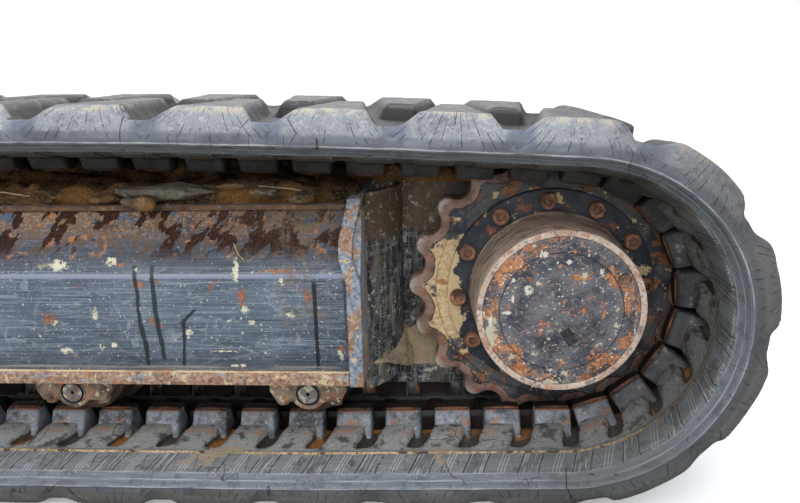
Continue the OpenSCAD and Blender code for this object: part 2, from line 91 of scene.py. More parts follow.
class Signal:
    """One shader socket; arithmetic on it adds the Math nodes."""

    def __init__(self, tree: "Tree", socket: bpy.types.NodeSocket) -> None:
        """Wraps a socket of a tree."""
        self.tree = tree
        self.socket = socket

    def math(self, operation: str, *others: Number, first: Optional[float] = None) -> "Signal":
        """Adds a Math node.

        Args:
            operation: the node's operation.
            others: the other operands.
            first: a number that takes the first place, before this signal.
        Returns:
            The node's output.
        """
        values = [self, *others] if first is None else [first, self]
        return self.tree.node("Math", {"operation": operation}, dict(enumerate(values)))

    def __add__(self, other: Number) -> "Signal":
        """Adds."""
        return self.math("ADD", other)

    __radd__ = __add__

    def __sub__(self, other: Number) -> "Signal":
        """Subtracts."""
        return self.math("SUBTRACT", other)

    def __rsub__(self, other: float) -> "Signal":
        """Subtracts this from a number."""
        return self.math("SUBTRACT", first=other)

    def __mul__(self, other: Number) -> "Signal":
        """Multiplies."""
        return self.math("MULTIPLY", other)

    __rmul__ = __mul__

    def __truediv__(self, other: Number) -> "Signal":
        """Divides."""
        return self.math("DIVIDE", other)

    def __pow__(self, other: Number) -> "Signal":
        """Raises to a power."""
        return self.math("POWER", other)

    def __abs__(self) -> "Signal":
        """Drops the sign."""
        return self.math("ABSOLUTE")

    def least(self, other: Number) -> "Signal":
        """Takes the smaller of two."""
        return self.math("MINIMUM", other)

    def most(self, other: Number) -> "Signal":
        """Takes the larger of two."""
        return self.math("MAXIMUM", other)

    def cycle(self, length: float) -> "Signal":
        """Repeats from 0 to a length."""
        return self.math("FLOORED_MODULO", length)

    def rise(self, low: float, high: float) -> "Signal":
        """Eases from 0 at low to 1 at high; falls where high is below low.

        Args:
            low: the value that gives 0.
            high: the value that gives 1.
        Returns:
            The eased number.
        """
        start, end, first, last = (high, low, 1.0, 0.0) if high < low else (low, high, 0.0, 1.0)
        return self.tree.node("MapRange", {"interpolation_type": "SMOOTHSTEP"},
                              {0: self, 1: start, 2: end, 3: first, 4: last})

    def within(self, low: float, high: float, soft: float) -> "Signal":
        """Is 1 between two values and eases to 0 over a soft width outside them."""
        return self.rise(low - soft, low) * self.rise(high + soft, high)


def strongest(masks: Iterable[Signal]) -> Signal:
    """Takes the largest of some masks.

    Args:
        masks: the masks.
    Returns:
        Their largest value.
    """
    top, *others = masks
    for mask in others:
        top = top.most(mask)
    return top


class Tree:
    """A shader's node tree."""

    def __init__(self, tree: bpy.types.NodeTree) -> None:
        """Wraps a tree."""
        self.tree = tree

    def node(self, kind: str, settings: Optional[dict] = None, inputs: Optional[dict] = None,
             out: Union[int, str] = 0) -> Signal:
        """Adds any node.

        Args:
            kind: the node's type, without the words ShaderNode.
            settings: its properties, set first; a ramp's stops go under "stops".
            inputs: values or signals by the socket's name or number.
            out: the output that is returned.
        Returns:
            The output as a signal.
        """
        made = self.tree.nodes.new("ShaderNode" + kind)
        for key, value in (settings or {}).items():
            if key == "stops":
                self._stops(made.color_ramp, value)
            else:
                setattr(made, key, value)
        for key, value in (inputs or {}).items():
            if isinstance(value, Signal):
                self.tree.links.new(value.socket, made.inputs[key])
            else:
                made.inputs[key].default_value = value
        return Signal(self, made.outputs[out])

    @staticmethod
    def _stops(ramp: bpy.types.ColorRamp, stops: Sequence[tuple[float, Colour]]) -> None:
        """Fills a colour ramp.

        Args:
            ramp: the ramp.
            stops: each stop's place and colour.
        """
        while len(ramp.elements) < len(stops):
            ramp.elements.new(0.5)
        for element, (place, colour) in zip(ramp.elements, stops):
            element.position = place
            element.color = (*linear(colour), 1.0)

    def split(self, vector: Signal) -> tuple[Signal, Signal, Signal]:
        """Takes a vector apart.

        Args:
            vector: the vector.
        Returns:
            Its three parts.
        """
        made = self.tree.nodes.new("ShaderNodeSeparateXYZ")
        self.tree.links.new(vector.socket, made.inputs[0])
        return tuple(Signal(self, made.outputs[i]) for i in range(3))


class Shade(Tree):
    """Builds one material's node tree around a Principled shader."""

    def __init__(self, name: str) -> None:
        """Starts a material, with the place on the object in metres.

        Args:
            name: the material's name.
        """
        self.material = bpy.data.materials.new(name)
        self.material.use_nodes = True
        super().__init__(self.material.node_tree)
        self.shader = next(n for n in self.tree.nodes if n.type == "BSDF_PRINCIPLED")
        self.relief: Optional[Signal] = None
        self.place = self.node("TexCoord", out="Object")

    def chart(self, name: str) -> Signal:
        """Gives a UV map of the piece as a vector."""
        return self.node("UVMap", {"uv_map": name})

    def attribute(self, name: str) -> Signal:
        """Gives a number stored on the piece's points."""
        return self.node("Attribute", {"attribute_name": name}, out="Fac")

    def about(self, x: float, z: float) -> tuple[Signal, Signal, Signal]:
        """Gives the place about an axis along Y.

        Args:
            x: the axis's place in the row frame, in mm.
            z: its height.
        Returns:
            The distance along X, the distance along Z and the distance from the axis.
        """
        right, _, height = self.split(self.place)
        side, up = right - x * MM, height - z * MM
        return side, up, (side * side + up * up) ** 0.5

    def grain(self, scale: Union[float, Sequence[float]], detail: float = 3.0,
              rough: float = 0.55, warp: float = 0.0, turn: Sequence[float] = (0, 0, 0),
              of: Optional[Signal] = None) -> Signal:
        """Gives noise from 0 to 1.

        Args:
            scale: its waves in a metre, or those along each of its axes.
            detail: how many octaves it has.
            rough: how strong the finer ones are.
            warp: how much it is distorted.
            turn: how its axes are turned, in degrees.
            of: the vector that is read in place of the object's place.
        Returns:
            The noise.
        """
        vector = of or self.place
        if not isinstance(scale, (int, float)):
            vector, scale = self.mapped(vector, scale, turn), 1.0
        return self.node("TexNoise", {}, {
            "Vector": vector, "Scale": scale, "Detail": detail, "Roughness": rough,
            "Distortion": warp})

    def mapped(self, vector: Signal, scale: Sequence[float], turn: Sequence[float]) -> Signal:
        """Turns a vector, in degrees, and then scales it.

        Args:
            vector: the vector.
            scale: its scale along each axis.
            turn: how its axes are turned, in degrees.
        Returns:
            The new vector.
        """
        return self.node("Mapping", {"vector_type": "TEXTURE"}, {
            "Vector": vector, "Scale": tuple(1 / a for a in scale),
            "Rotation": tuple(radians(a) for a in turn)})

    def cells(self, scale: Sequence[float], feature: str = "F1",
              turn: Sequence[float] = (0, 0, 0)) -> Signal:
        """Gives the distance to the nearest cell point or edge.

        Args:
            scale: cells in a metre along each axis.
            feature: the point or the edge.
            turn: how the axes are turned, in degrees.
        Returns:
            The distance.
        """
        return self.node("TexVoronoi", {"feature": feature}, {
            "Vector": self.mapped(self.place, scale, turn), "Scale": 1.0}, out="Distance")

    def scratches(self, cuts: Sequence[tuple[float, float, float, float]],
                  flat: Optional[Signal] = None) -> Signal:
        """Draws thin broken scratches where stretched noise passes its middle.

        Args:
            cuts: for each set, its waves in a metre along and across, its turn in degrees
                and its half width in mm.
            flat: a map whose X and Y are read, in place of the object's X and Z.
        Returns:
            The mask of all sets.
        """
        masks = []
        for order, (along, across, turn, width) in enumerate(cuts):
            scale = (along, across, 1) if flat else (along, 1, across)
            angle = (0, 0, turn) if flat else (0, turn, 0)
            wave = self.grain(scale, 0.6, 0.3, turn=angle, of=flat)
            half = width * MM * across * 0.5
            masks.append(abs(wave - 0.5).rise(half, half * 0.4)
                         * self.grain(17 + 9 * order, 2, of=flat).rise(0.46, 0.54))
        return strongest(masks)

    def spots(self, marks: Marks, x: Signal, z: Signal, ragged: Signal) -> Signal:
        """Adds up ragged spots.

        Args:
            marks: the spots.
            x: place along the plate.
            z: height.
            ragged: noise that tears their edges.
        Returns:
            The mask of all of them.
        """
        masks = []
        for mid_x, mid_z, half_x, half_z in marks:
            across = (x - mid_x * MM) * (1 / (half_x * MM))
            up = (z - mid_z * MM) * (1 / (half_z * MM))
            masks.append((across * across + up * up + ragged).rise(1.15, 0.85))
        return strongest(masks)

    def ramp(self, factor: Signal, *stops: tuple[float, Colour]) -> Signal:
        """Runs a number through a colour ramp."""
        return self.node("ValToRGB", {"stops": stops}, {0: factor})

    def mix(self, factor: Number, *colours: Union[Colour, Signal]) -> Signal:
        """Mixes two colours."""
        first, second = (c if isinstance(c, Signal) else (*linear(c), 1.0) for c in colours)
        return self.node("Mix", {"data_type": "RGBA"}, {0: factor, 6: first, 7: second}, out=2)

    def paint(self, base: Signal, layers: Iterable[tuple[Number, Union[Colour, Signal]]]) -> Signal:
        """Lays colours over a base, each with its own mask.

        Args:
            base: the lowest colour.
            layers: each layer's mask and colour.
        Returns:
            The painted colour.
        """
        for mask, colour in layers:
            base = self.mix(mask, base, colour)
        return base

    def emboss(self, height: Signal, distance: float, strength: float = 1.0) -> None:
        """Adds a bump on top of earlier ones.

        Args:
            height: its height, from 0 to 1.
            distance: how high 1 stands, in metres.
            strength: how much of it shows.
        """
        inputs = {"Height": height, "Distance": distance, "Strength": strength}
        if self.relief is not None:
            inputs["Normal"] = self.relief
        self.relief = self.node("Bump", {}, inputs)

    def done(self, colour: Signal, rough: Number, metal: Number = 0.0,
             specular: float = 0.3) -> Material:
        """Feeds the shader and gives the material.

        Args:
            colour: the base colour.
            rough: roughness.
            metal: how metallic it is.
            specular: the shader's specular level.
        Returns:
            The finished material.
        """
        fed = {"Base Color": colour, "Roughness": rough, "Metallic": metal,
               "Specular IOR Level": specular}
        if self.relief is not None:
            fed["Normal"] = self.relief
        for name, value in fed.items():
            if isinstance(value, Signal):
                self.tree.links.new(value.socket, self.shader.inputs[name])
            else:
                self.shader.inputs[name].default_value = value
        return self.material


@dataclass(frozen=True)
class TrackRubber:
    """Worn moulded rubber of the loop, read along the run and across the width."""
    pitch: float
    block_lead: float
    panel_lead: float
    white: Colour = (182, 184, 186)

    def off(self, run: Signal, place: float) -> Signal:
        """Gives the distance along the run from a place in each link, given in mm."""
        return abs((run - (place - self.pitch / 2) * MM).cycle(self.pitch * MM) - self.pitch / 2 * MM)

    def ahead(self, run: Signal, across: Signal) -> Signal:
        """Gives the distance ahead of the middle of the nearest tread block.

        Args:
            run: place along the run.
            across: place across the width.
        Returns:
            The distance, below 0 behind the block's middle.
        """
        span = 2 * self.pitch * MM
        stagger = across.rise(0.2, 0.25) * (self.pitch * MM)
        return (run - self.block_lead * MM - stagger + span / 2).cycle(span) - span / 2

    def fan(self, s: Shade, ahead: Signal, lift: Signal) -> Signal:
        """Draws the short cracks that fan out down each block's flank.

        Args:
            s: the shade that is built.
            ahead: distance ahead of the block's middle.
            lift: height above the tread's face.
        Returns:
            The mask of the cracks.
        """
        spread = ahead / (lift * 14 + 0.55)
        wave = abs((spread + 0.1).cycle(0.0125) - 0.00625).rise(0.0008, 0.0003)
        return wave * s.grain(55, 2).rise(0.5, 0.58)

    def make(self) -> Material:
        """Builds the material.

        Returns:
            The material.
        """
        s = Shade("track_rubber")
        right, _, height = s.split(s.place)
        flat = s.chart("Run")
        run, across, _ = s.split(flat)
        lift, _, _ = s.split(s.chart("Lift"))
        edge = across.least(WIDTH * MM - across)
        broad = s.grain(9, 4, 0.6)
        medium = s.grain(38, 4, 0.6)
        fine = s.grain(150, 5, 0.7)
        speck = s.grain(420, 2, 0.6)
        streak = s.grain((14, 420, 1), 4, 0.65, of=flat)
        scrape = s.grain((300, 18, 1), 4, 0.6, 0, (0, 0, -22), flat)
        hairs = s.scratches(((9, 60, 4, 0.5), (30, 70, 35, 0.5), (60, 26, 8, 0.6)), flat)
        tread = lift.rise(0.012, 0.002) * edge.rise(0.02, 0.03)
        flank = lift.within(0.001, 0.04, 0.005) * edge.rise(0.036, 0.026)
        strip = lift.within(0.036, 0.0462, 0.007) * edge.rise(0.02, 0.012)
        hollow = lift.within(0.0185, 0.032, 0.003) * edge.rise(0.011, 0.017)
        rim = lift.rise(0.0465, 0.0478) * edge.rise(0.0225, 0.0205) * lift.rise(0.065, 0.0625)
        panel = edge.within(0.0205, 0.0575, 0.0012) * lift.rise(0.06, 0.0615)
        gutter = edge.within(0.0572, 0.0628, 0.0015) * lift.rise(0.066, 0.069)
        foot = edge.within(0.0625, 0.078, 0.003) * lift.rise(0.066, 0.07)
        ridge = lift.rise(0.067, 0.071) * edge.within(0.07, 0.17, 0.004)
        pocket = lift.within(0.05, 0.0645, 0.003) * edge.within(0.074, 0.152, 0.003)
        pit = lift.within(0.04, 0.064, 0.003) * edge.rise(0.152, 0.16)
        outer = lift.rise(0.046, 0.04)
        top_run_shade = height.rise(0.44, 0.5)
        ahead = self.ahead(run, across)
        valley = abs(ahead).rise(0.056, 0.07)
        scuff = (fine.rise(0.5, 0.66) * 0.6 + speck.rise(0.56, 0.7) * 0.5).least(1.0)
        leant = run - edge * 0.4
        off = self.off(leant, self.panel_lead)
        between = off.rise(0.0258, 0.0272)
        bars = strongest(self.off(leant, self.panel_lead + d).rise(0.0008, 0.00032) for d in (-5, 0, 5))
        low = height.rise(0.062, 0.03)
        colour = s.paint(s.mix(broad.rise(0.35, 0.65), (56, 55, 54), (84, 83, 82)), [
            (outer * (medium.rise(0.35, 0.6) * 0.5), (72, 66, 58)),
            # painted shade: the tread's recesses between the blocks near black
            (lift.within(0.005, 0.032, 0.003) * edge.rise(0.02, 0.03) * 0.85,
             s.mix(medium, (16, 15, 14), (44, 41, 38))),
            (tread * (0.4 + broad * 0.6), (84, 83, 86)),
            (tread * streak.rise(0.45, 0.65) * 0.6, (118, 116, 118)),
            (tread * medium.rise(0.52, 0.64) * 0.45, (150, 134, 108)),
            (flank * (medium.rise(0.3, 0.55) * 0.35 + 0.65), (138, 141, 147)),
            (flank * medium.rise(0.44, 0.34) * 0.55, (92, 94, 98)),
            (flank * scuff * 0.65, (196, 197, 197)),
            (flank * speck.rise(0.4, 0.3) * 0.45, (84, 84, 86)),
            (flank * valley * 0.75, (88, 96, 112)),
            (flank * lift.rise(0.012, 0.003) * medium.rise(0.46, 0.56) * 0.75, (182, 172, 150)),
            (strip * 0.7, (96, 101, 112)),
            (strip * streak.rise(0.5, 0.66) * 0.4, (146, 150, 158)),
            (strip * broad.rise(0.5, 0.6) * 0.5, (72, 74, 80)),
            # painted shade in the flank's scoops between the blocks, with brown dirt over it
            (hollow * 0.9, (32, 30, 28)),
            (hollow * medium.rise(0.5, 0.62) * 0.5, (66, 60, 52)),
            (rim * (streak.rise(0.3, 0.6) * 0.45 + 0.5), (116, 122, 130)),
            (rim * medium.rise(0.52, 0.62) * 0.55, (76, 80, 88)),
            (rim * speck.rise(0.62, 0.72) * 0.7, self.white),
            (rim * lift.within(0.0543, 0.0551, 0.0004) * streak.rise(0.35, 0.6) * 0.7,
             (170, 174, 180)),
            (panel * (streak.rise(0.35, 0.65) * 0.4 + 0.55), (126, 129, 132)),
            (panel * between * 0.7, (92, 94, 97)),
            (panel * between * scrape.rise(0.5, 0.62) * 0.8, (170, 172, 172)),
            (panel * off.within(0.0248, 0.0268, 0.0006) * 0.9, (44, 46, 50)),
            (panel * off.within(0.0275, 0.0284, 0.0004) * fine.rise(0.4, 0.5) * 0.6, self.white),
            (panel * hairs * 0.2, (182, 184, 186)),
            (panel * bars * 0.75, (186, 188, 190)),
            (panel * medium.rise(0.42, 0.32) * 0.6, (70, 70, 72)),
            (foot * 0.8, (112, 114, 118)),
            (foot * scuff * 0.5, (160, 158, 152)),
            (ridge * 0.85, (142, 142, 140)),
            (ridge * scuff * 0.75, (178, 174, 166)),
            (ridge * medium.rise(0.48, 0.38) * 0.85, (56, 53, 50)),
            (ridge * hairs * 0.6, (46, 43, 40)),
            (ridge * edge.within(0.104, 0.114, 0.004) * medium.rise(0.5, 0.58)
             * fine.rise(0.38, 0.55) * 0.8, (158, 114, 90)),
            # painted shade at the foot of the ridges' walls
            (lift.within(0.0655, 0.0705, 0.001) * edge.within(0.08, 0.15, 0.004) * 0.75,
             (34, 32, 30)),
            # painted shade on the pit floor between the rows of lugs
            (pit, (36, 30, 25)),
            (pocket * 0.9, (70, 66, 61)),
            (pocket * s.grain(11, 1).rise(0.5, 0.54), (150, 100, 50)),
            (pocket * s.grain(13, 1).rise(0.47, 0.42) * 0.85, (58, 52, 47)),
            (pocket * fine.rise(0.45, 0.3) * 0.6, (44, 34, 26)),
            (gutter, s.mix(fine.rise(0.35, 0.6), (146, 116, 80), (208, 184, 148))),
            (gutter * medium.rise(0.47, 0.43) * 0.9, (50, 40, 32)),
            (edge.within(0.036, 0.072, 0.006) * lift.rise(0.058, 0.062)
             * s.grain(10, 4, 0.65).rise(0.585, 0.63) * fine.rise(0.32, 0.5), (150, 136, 114)),
            # painted highlight along the lip's edge
            (lift.within(0.0466, 0.0482, 0.0004) * edge.rise(0.012, 0.006)
             * streak.rise(0.34, 0.6) * 0.75, self.white),
            (lift.within(0.0604, 0.0612, 0.0003) * edge.rise(0.024, 0.022)
             * streak.rise(0.4, 0.62) * 0.6, (168, 170, 172)),
            # painted shade on the underside of the top run
            (top_run_shade * lift.rise(0.06, 0.063) * 0.75, (52, 46, 36)),
            (top_run_shade * lift.rise(0.06, 0.063) * edge.rise(0.07, 0.08) * 0.8, (34, 29, 24)),
            # near the ground: splashed dirt and dust, with painted shade where the ground hides the sky
            (low * outer * 0.6, (66, 62, 54)),
            (low * outer * medium.rise(0.5, 0.62) * 0.5, (104, 98, 84)),
            # painted shade on the wrap round the sprocket, on the right; it also dims the rim there
            (right.rise(1.14, 1.3) * lift.rise(0.064, 0.067) * height.rise(0.06, 0.14) * 0.55,
             (42, 40, 38)),
            (right.rise(1.1, 1.3) * rim * 0.15, (80, 82, 84)),
            (right.rise(1.05, 1.4) * outer * 0.76, (76, 73, 69)),
            (right.rise(0.9, 1.2) * height.rise(0.2, 0.06) * 0.5, (70, 70, 66)),
            (right.rise(1.15, 1.3) * gutter * 0.7, (66, 52, 38)),
        ])
        cut = s.cells((9, 9, 9), "DISTANCE_TO_EDGE").rise(0.008, 0.0)
        cut = cut * s.grain(7, 2).rise(0.57, 0.6)
        cracks = s.scratches(((30, 12, 5, 0.9), (60, 26, -12, 0.7)), flat)
        cut = cut.most(cracks * lift.rise(0.028, 0.038) * lift.rise(0.072, 0.066)
                       * s.grain(21, 2).rise(0.55, 0.6))
        fan = self.fan(s, ahead, lift) * flank
        colour = s.paint(colour, [((cut * 0.7).most(fan * 0.5), (32, 31, 30))])
        s.emboss(fine, 0.0014, 0.8)
        s.emboss(medium, 0.0024, 0.5)
        s.emboss(streak * (rim + panel), 0.0009, 0.6)
        s.emboss(scrape * (flank + ridge), 0.0014, 0.7)
        s.emboss(1 - cut.most(fan), 0.002, 0.9)
        return s.done(colour, 0.46 + fine * 0.3, specular=0.4)


@dataclass(frozen=True)
class LugRubber:
    """Rubber cast round the steel horns, scuffed and stained by them."""
    dark: Colour = (66, 69, 74)
    light: Colour = (134, 139, 146)

    def make(self) -> Material:
        """Builds the material.

        Returns:
            The material.
        """
        s = Shade("lug_rubber")
        right, _, height = s.split(s.place)
        lift, _, _ = s.split(s.chart("Lift"))
        _, across, _ = s.split(s.chart("Run"))
        deep = across.least(WIDTH * MM - across)
        broad = s.grain(30, 4, 0.6)
        fine = s.grain(170, 5, 0.7)
        shade = right.rise(1.1, 1.27) * height.rise(0.05, 0.12)
        colour = s.paint(s.mix(broad.rise(0.34, 0.6), self.dark, self.light), [
            (fine.rise(0.54, 0.68) * 0.7, (188, 188, 186)),
            (fine.rise(0.45, 0.33) * 0.65, (42, 42, 44)),
            (s.grain(420, 2, 0.6).rise(0.64, 0.74) * 0.7, (204, 202, 196)),
            (lift.within(0.083, 0.09, 0.004) * s.grain(32, 3).rise(0.56, 0.64)
             * fine.rise(0.35, 0.55), (160, 112, 86)),
            (lift.rise(0.1005, 0.1028) * broad.rise(0.36, 0.55), (150, 96, 66)),
            # painted shade: the lug tops black behind a thin rusty front edge
            (lift.rise(0.1, 0.102) * deep.rise(0.1395, 0.1415) * 0.95, (26, 22, 21)),
            (deep.rise(0.176, 0.18) * 0.7, (34, 32, 32)),
            (shade * 0.8, (38, 36, 36)),
            (shade * broad.rise(0.56, 0.64) * fine.rise(0.4, 0.6) * 0.8, (150, 148, 142)),
            # painted shade on the lugs that hang under the top run
            (height.rise(0.42, 0.46) * 0.88, (34, 29, 24)),
        ])
        s.emboss(fine, 0.0018, 0.8)
        s.emboss(broad, 0.003, 0.4)
        return s.done(colour, 0.42 + fine * 0.3, specular=0.45)


@dataclass(frozen=True)
class RustyIron:
    """Forged or cast iron under an even coat of rust, with worn and dark places."""
    name: str
    dark: Colour = (58, 42, 34)
    body: Colour = (112, 80, 62)
    bright: Colour = (168, 104, 66)
    scale: float = 1.0
    oil: float = 0.3
    left: float = 0.0
    shadow: bool = False

    def make(self) -> Material:
        """Builds the material.

        Returns:
            The material.
        """
        s = Shade(self.name)
        broad = s.grain(18 * self.scale, 4, 0.6)
        fine = s.grain(150 * self.scale, 5, 0.7)
        colour = s.paint(s.mix(broad.rise(0.3, 0.6), self.dark, self.body), [
            (s.grain(40 * self.scale, 3).rise(0.54, 0.66) * 0.8, self.bright),
            (fine.rise(0.56, 0.7) * 0.6, (186, 162, 142)),
            (s.grain(44 * self.scale, 5, 0.65).rise(0.63 - self.left * 0.08,
                                                           0.65 - self.left * 0.08)
             * min(self.left * 9, 1.0), (196, 184, 158)),
            (s.grain(12 * self.scale, 3).rise(0.5, 0.7) * self.oil, (34, 31, 30)),
            (fine.rise(0.4, 0.3) * 0.6, (44, 34, 30)),
        ])
        if self.shadow:
            _, across, _ = s.split(s.chart("Run"))
            deep = across.least(WIDTH * MM - across)
            colour = s.mix(deep.rise(0.1455, 0.1475) * 0.95, colour, (22, 18, 17))
        s.emboss(fine, 0.0012, 0.8)
        return s.done(colour, 0.55 + fine * 0.3, 0.15)


@dataclass(frozen=True)
class WornPaint:
    """Dark paint with scratches, cream chips and rust coming through."""
    name: str
    paint: Colour = (62, 69, 82)
    light: Colour = (96, 106, 120)
    chips: float = 0.3
    rust: float = 0.3
    scratch: float = 0.6
    along: Sequence[float] = (9, 200, 460)
    edge: Colour = (134, 110, 92)

    def coat(self, s: Shade) -> tuple[Signal, Signal, Signal]:
        """Lays the paint with its wear.

        Args:
            s: the shade that is built.
        Returns:
            The colour, the fine grain and the mask of what has come through.
        """
        broad = s.grain(7, 4, 0.6)
        fine = s.grain(260, 4, 0.7)
        streak = s.grain(self.along, 5, 0.7)
        cross = s.grain((60, 60, 9), 4, 0.7, 0.6, (0, 24, 0))
        chip = s.grain(60, 4, 0.5).rise(0.71 - self.chips * 0.08, 0.72)
        bare = s.grain(34, 5, 0.65).rise(0.70 - self.rust * 0.16, 0.72)
        edge = s.attribute("rim") * s.grain(55, 3).rise(0.38, 0.55)
        hairs = s.scratches(((4, 76, 2, 0.5), (5, 64, -9, 0.5), (9, 56, 33, 0.4),
                             (9, 50, -50, 0.4), (12, 60, 84, 0.4)))
        colour = s.paint(s.mix(broad.rise(0.3, 0.7), self.paint, self.light), [
            (streak.rise(0.5, 0.64) * self.scratch * 0.6, (152, 162, 176)),
            (cross.rise(0.62, 0.7) * self.scratch * 0.4, (156, 164, 172)),
            (streak.rise(0.46, 0.34) * 0.7, (36, 42, 52)),
            (fine.rise(0.56, 0.7) * self.scratch * 0.4, (168, 176, 184)),
            (hairs * self.scratch * 0.28, (190, 198, 206)),
            (bare * fine.rise(0.25, 0.5), (150, 92, 58)),
            (chip, (208, 200, 176)),
            (s.grain(230, 2, 0.5).rise(0.68, 0.7) * self.scratch, (220, 218, 210)),
            (edge * 0.8, self.edge),
        ])
        return colour, fine, (bare + chip).least(1.0)

    def make(self) -> Material:
        """Builds the material.

        Returns:
            The material.
        """
        s = Shade(self.name)
        colour, fine, through = self.coat(s)
        s.emboss(fine, 0.0005, 0.5)
        s.emboss(1 - through, 0.0008, 0.6)
        return s.done(colour, 0.36 + through * 0.4 + fine * 0.15)


@dataclass(frozen=True)
class SidePlatePaint(WornPaint):
    """The outer side plate: scratched blue-grey below, rusty and dirty above the fold, with painted
    shade over the slanted part and a painted highlight along the fold.
    """
    fold: float = 360.0
    chip_spots: Marks = (
        (370, 374, 16, 8), (450, 380, 10, 6), (419, 300, 5, 9), (367, 240, 11, 5),
        (638, 366, 5, 17), (648, 307, 5, 6), (657, 288, 6, 4), (561, 270, 6, 6),
        (443, 250, 5, 4), (626, 218, 6, 2.5), (638, 218, 5, 2.5),
        (612, 241, 20, 1.6), (489, 368, 4, 3), (706, 352, 4, 6), (716, 300, 8, 5))
    rust_spots: Marks = (
        (348, 292, 11, 13), (645, 326, 6, 15), (490, 347, 9, 7), (463, 375, 9, 3),
        (700, 366, 30, 4), (742, 330, 7, 9), (520, 352, 6, 4), (505, 290, 5, 6))
    # each runs from a place in X and Z to another
    drips: Marks = (
        (486, 372, 492, 214), (513, 372, 517, 229), (553, 288, 548, 214), (571, 306, 553, 288))

    def make(self) -> Material:
        """Builds the material.

        Returns:
            The material.
        """
        s = Shade(self.name)
        colour, fine, through = self.coat(s)
        x, _, z = s.split(s.place)
        torn = (s.grain(170, 5, 0.8) - 0.45) * 8.0
        chips = s.spots(self.chip_spots, x, z, torn)
        rusts = s.spots(self.rust_spots, x, z, torn * 1.4)
        above = (z + torn * 0.004).rise(self.fold * MM + 0.012, self.fold * MM + 0.045)
        high = z.rise(self.fold * MM + 0.03, self.fold * MM + 0.085)
        wavy = (s.grain((34, 34, 10.2), 5, 0.65) - 0.5) * 0.016
        wet = strongest(
            abs(x + wavy - x0 * MM - (z - z0 * MM) * ((x1 - x0) / (z1 - z0))).rise(0.0042, 0.0026)
            * z.within(z1 * MM, z0 * MM, 0.004) for x0, z0, x1, z1 in self.drips)
        blotch = s.grain((36, 20, 18), 4, 0.6, 0, (0, 38, 0)).rise(0.5, 0.525)
        mottle = s.grain(45, 4, 0.6)
        seam = abs(x - 0.7537 + wavy * 0.3).rise(0.0034, 0.0018) * z.rise(0.356, 0.345)
        dirt = x.within(0.712, 0.765, 0.02) * mottle.rise(0.42, 0.6) * z.rise(0.25, 0.3)
        colour = s.paint(colour, [
            (z.rise(0.245, 0.222) * 0.5, (58, 64, 74)),
            # painted shade over the slanted part above the fold
            (z.rise(self.fold * MM + 0.002, self.fold * MM + 0.012) * 0.5, (44, 50, 64)),
            # painted highlight along the fold
            (z.within(0.3565, 0.3615, 0.0015) * 0.7, (150, 160, 184)),
            (above * mottle.rise(0.44, 0.56) * 0.85, (96, 78, 64)),
            (high * s.grain(26, 5, 0.65).rise(0.42, 0.5), (132, 106, 86)),
            (high * fine.rise(0.5, 0.62) * 0.8, (192, 162, 138)),
            (above * s.grain(60, 4).rise(0.6, 0.635) * 0.85, (186, 124, 78)),
            (high * s.grain(40, 5, 0.65).rise(0.585, 0.6), (96, 108, 128)),
            (above * blotch * 0.95, s.mix(
                fine.rise(0.35, 0.65), (22, 11, 6), (68, 33, 17))),
            (x.rise(0.5, 0.74) * high * fine.rise(0.36, 0.56) * 0.7, (84, 66, 50)),
            (rusts * 0.9, s.mix(fine.rise(0.35, 0.65), (120, 66, 40), (192, 122, 74))),
            (dirt * fine.rise(0.35, 0.6) * 0.8, (120, 106, 86)),
            (wet * 0.85, (30, 33, 38)),
            (seam * 0.9, (28, 29, 32)),
            (chips, s.mix(fine.rise(0.3, 0.5), (176, 166, 140), (226, 220, 198))),
            (z.within(0.2, 0.2155, 0.003) * s.grain((9, 60, 120), 4).rise(0.42, 0.6) * 0.8,
             (160, 152, 148)),
        ])
        s.emboss(fine, 0.0005, 0.5)
        s.emboss(1 - (through + chips).least(1.0), 0.0008, 0.6)
        s.emboss(above * mottle, 0.0015, 0.6)
        s.emboss(1 - seam, 0.002, 0.8)
        return s.done(colour, 0.34 + (through + above + chips).least(1.0) * 0.5)


@dataclass(frozen=True)
class NeckPaint(WornPaint):
    """Dark plate between frame and drive, under dust that hangs in threads."""
    dust: Colour = (128, 114, 94)

    def make(self) -> Material:
        """Builds the material.

        Returns:
            The material.
        """
        s = Shade(self.name)
        colour, fine, through = self.coat(s)
        x, _, z = s.split(s.place)
        threads = s.scratches(((26, 90, 58, 0.5), (30, 80, -66, 0.5), (40, 110, 20, 0.4)))
        cloud = s.grain((30, 30, 8), 5, 0.65, 0, (0, 28, 0))
        colour = s.paint(colour, [
            (cloud.rise(0.5, 0.62) * 0.6, self.dust),
            (s.grain((170, 170, 14), 4, 0.7).rise(0.54, 0.64) * 0.75,
             (160, 160, 156)),
            ((z + (s.grain(22, 4, 0.7) - 0.5) * 0.12).rise(0.375, 0.395)
             * (0.4 + fine.rise(0.34, 0.5) * 0.6), (100, 80, 60)),
            (threads * cloud.rise(0.4, 0.55) * 0.4, (150, 138, 118)),
            (x.rise(0.99, 0.9) * s.grain(60, 5, 0.75).rise(0.56, 0.62) * 0.8,
             (190, 190, 184)),
            # painted shade on the part behind the sprocket
            (x.rise(0.93, 1.0) * z.rise(0.2, 0.3) * 0.75, (30, 30, 32)),
        ])
        s.emboss(fine, 0.001, 0.6)
        s.emboss(threads, 0.001, 0.6)
        return s.done(colour, 0.5 + through * 0.3 + fine * 0.2)


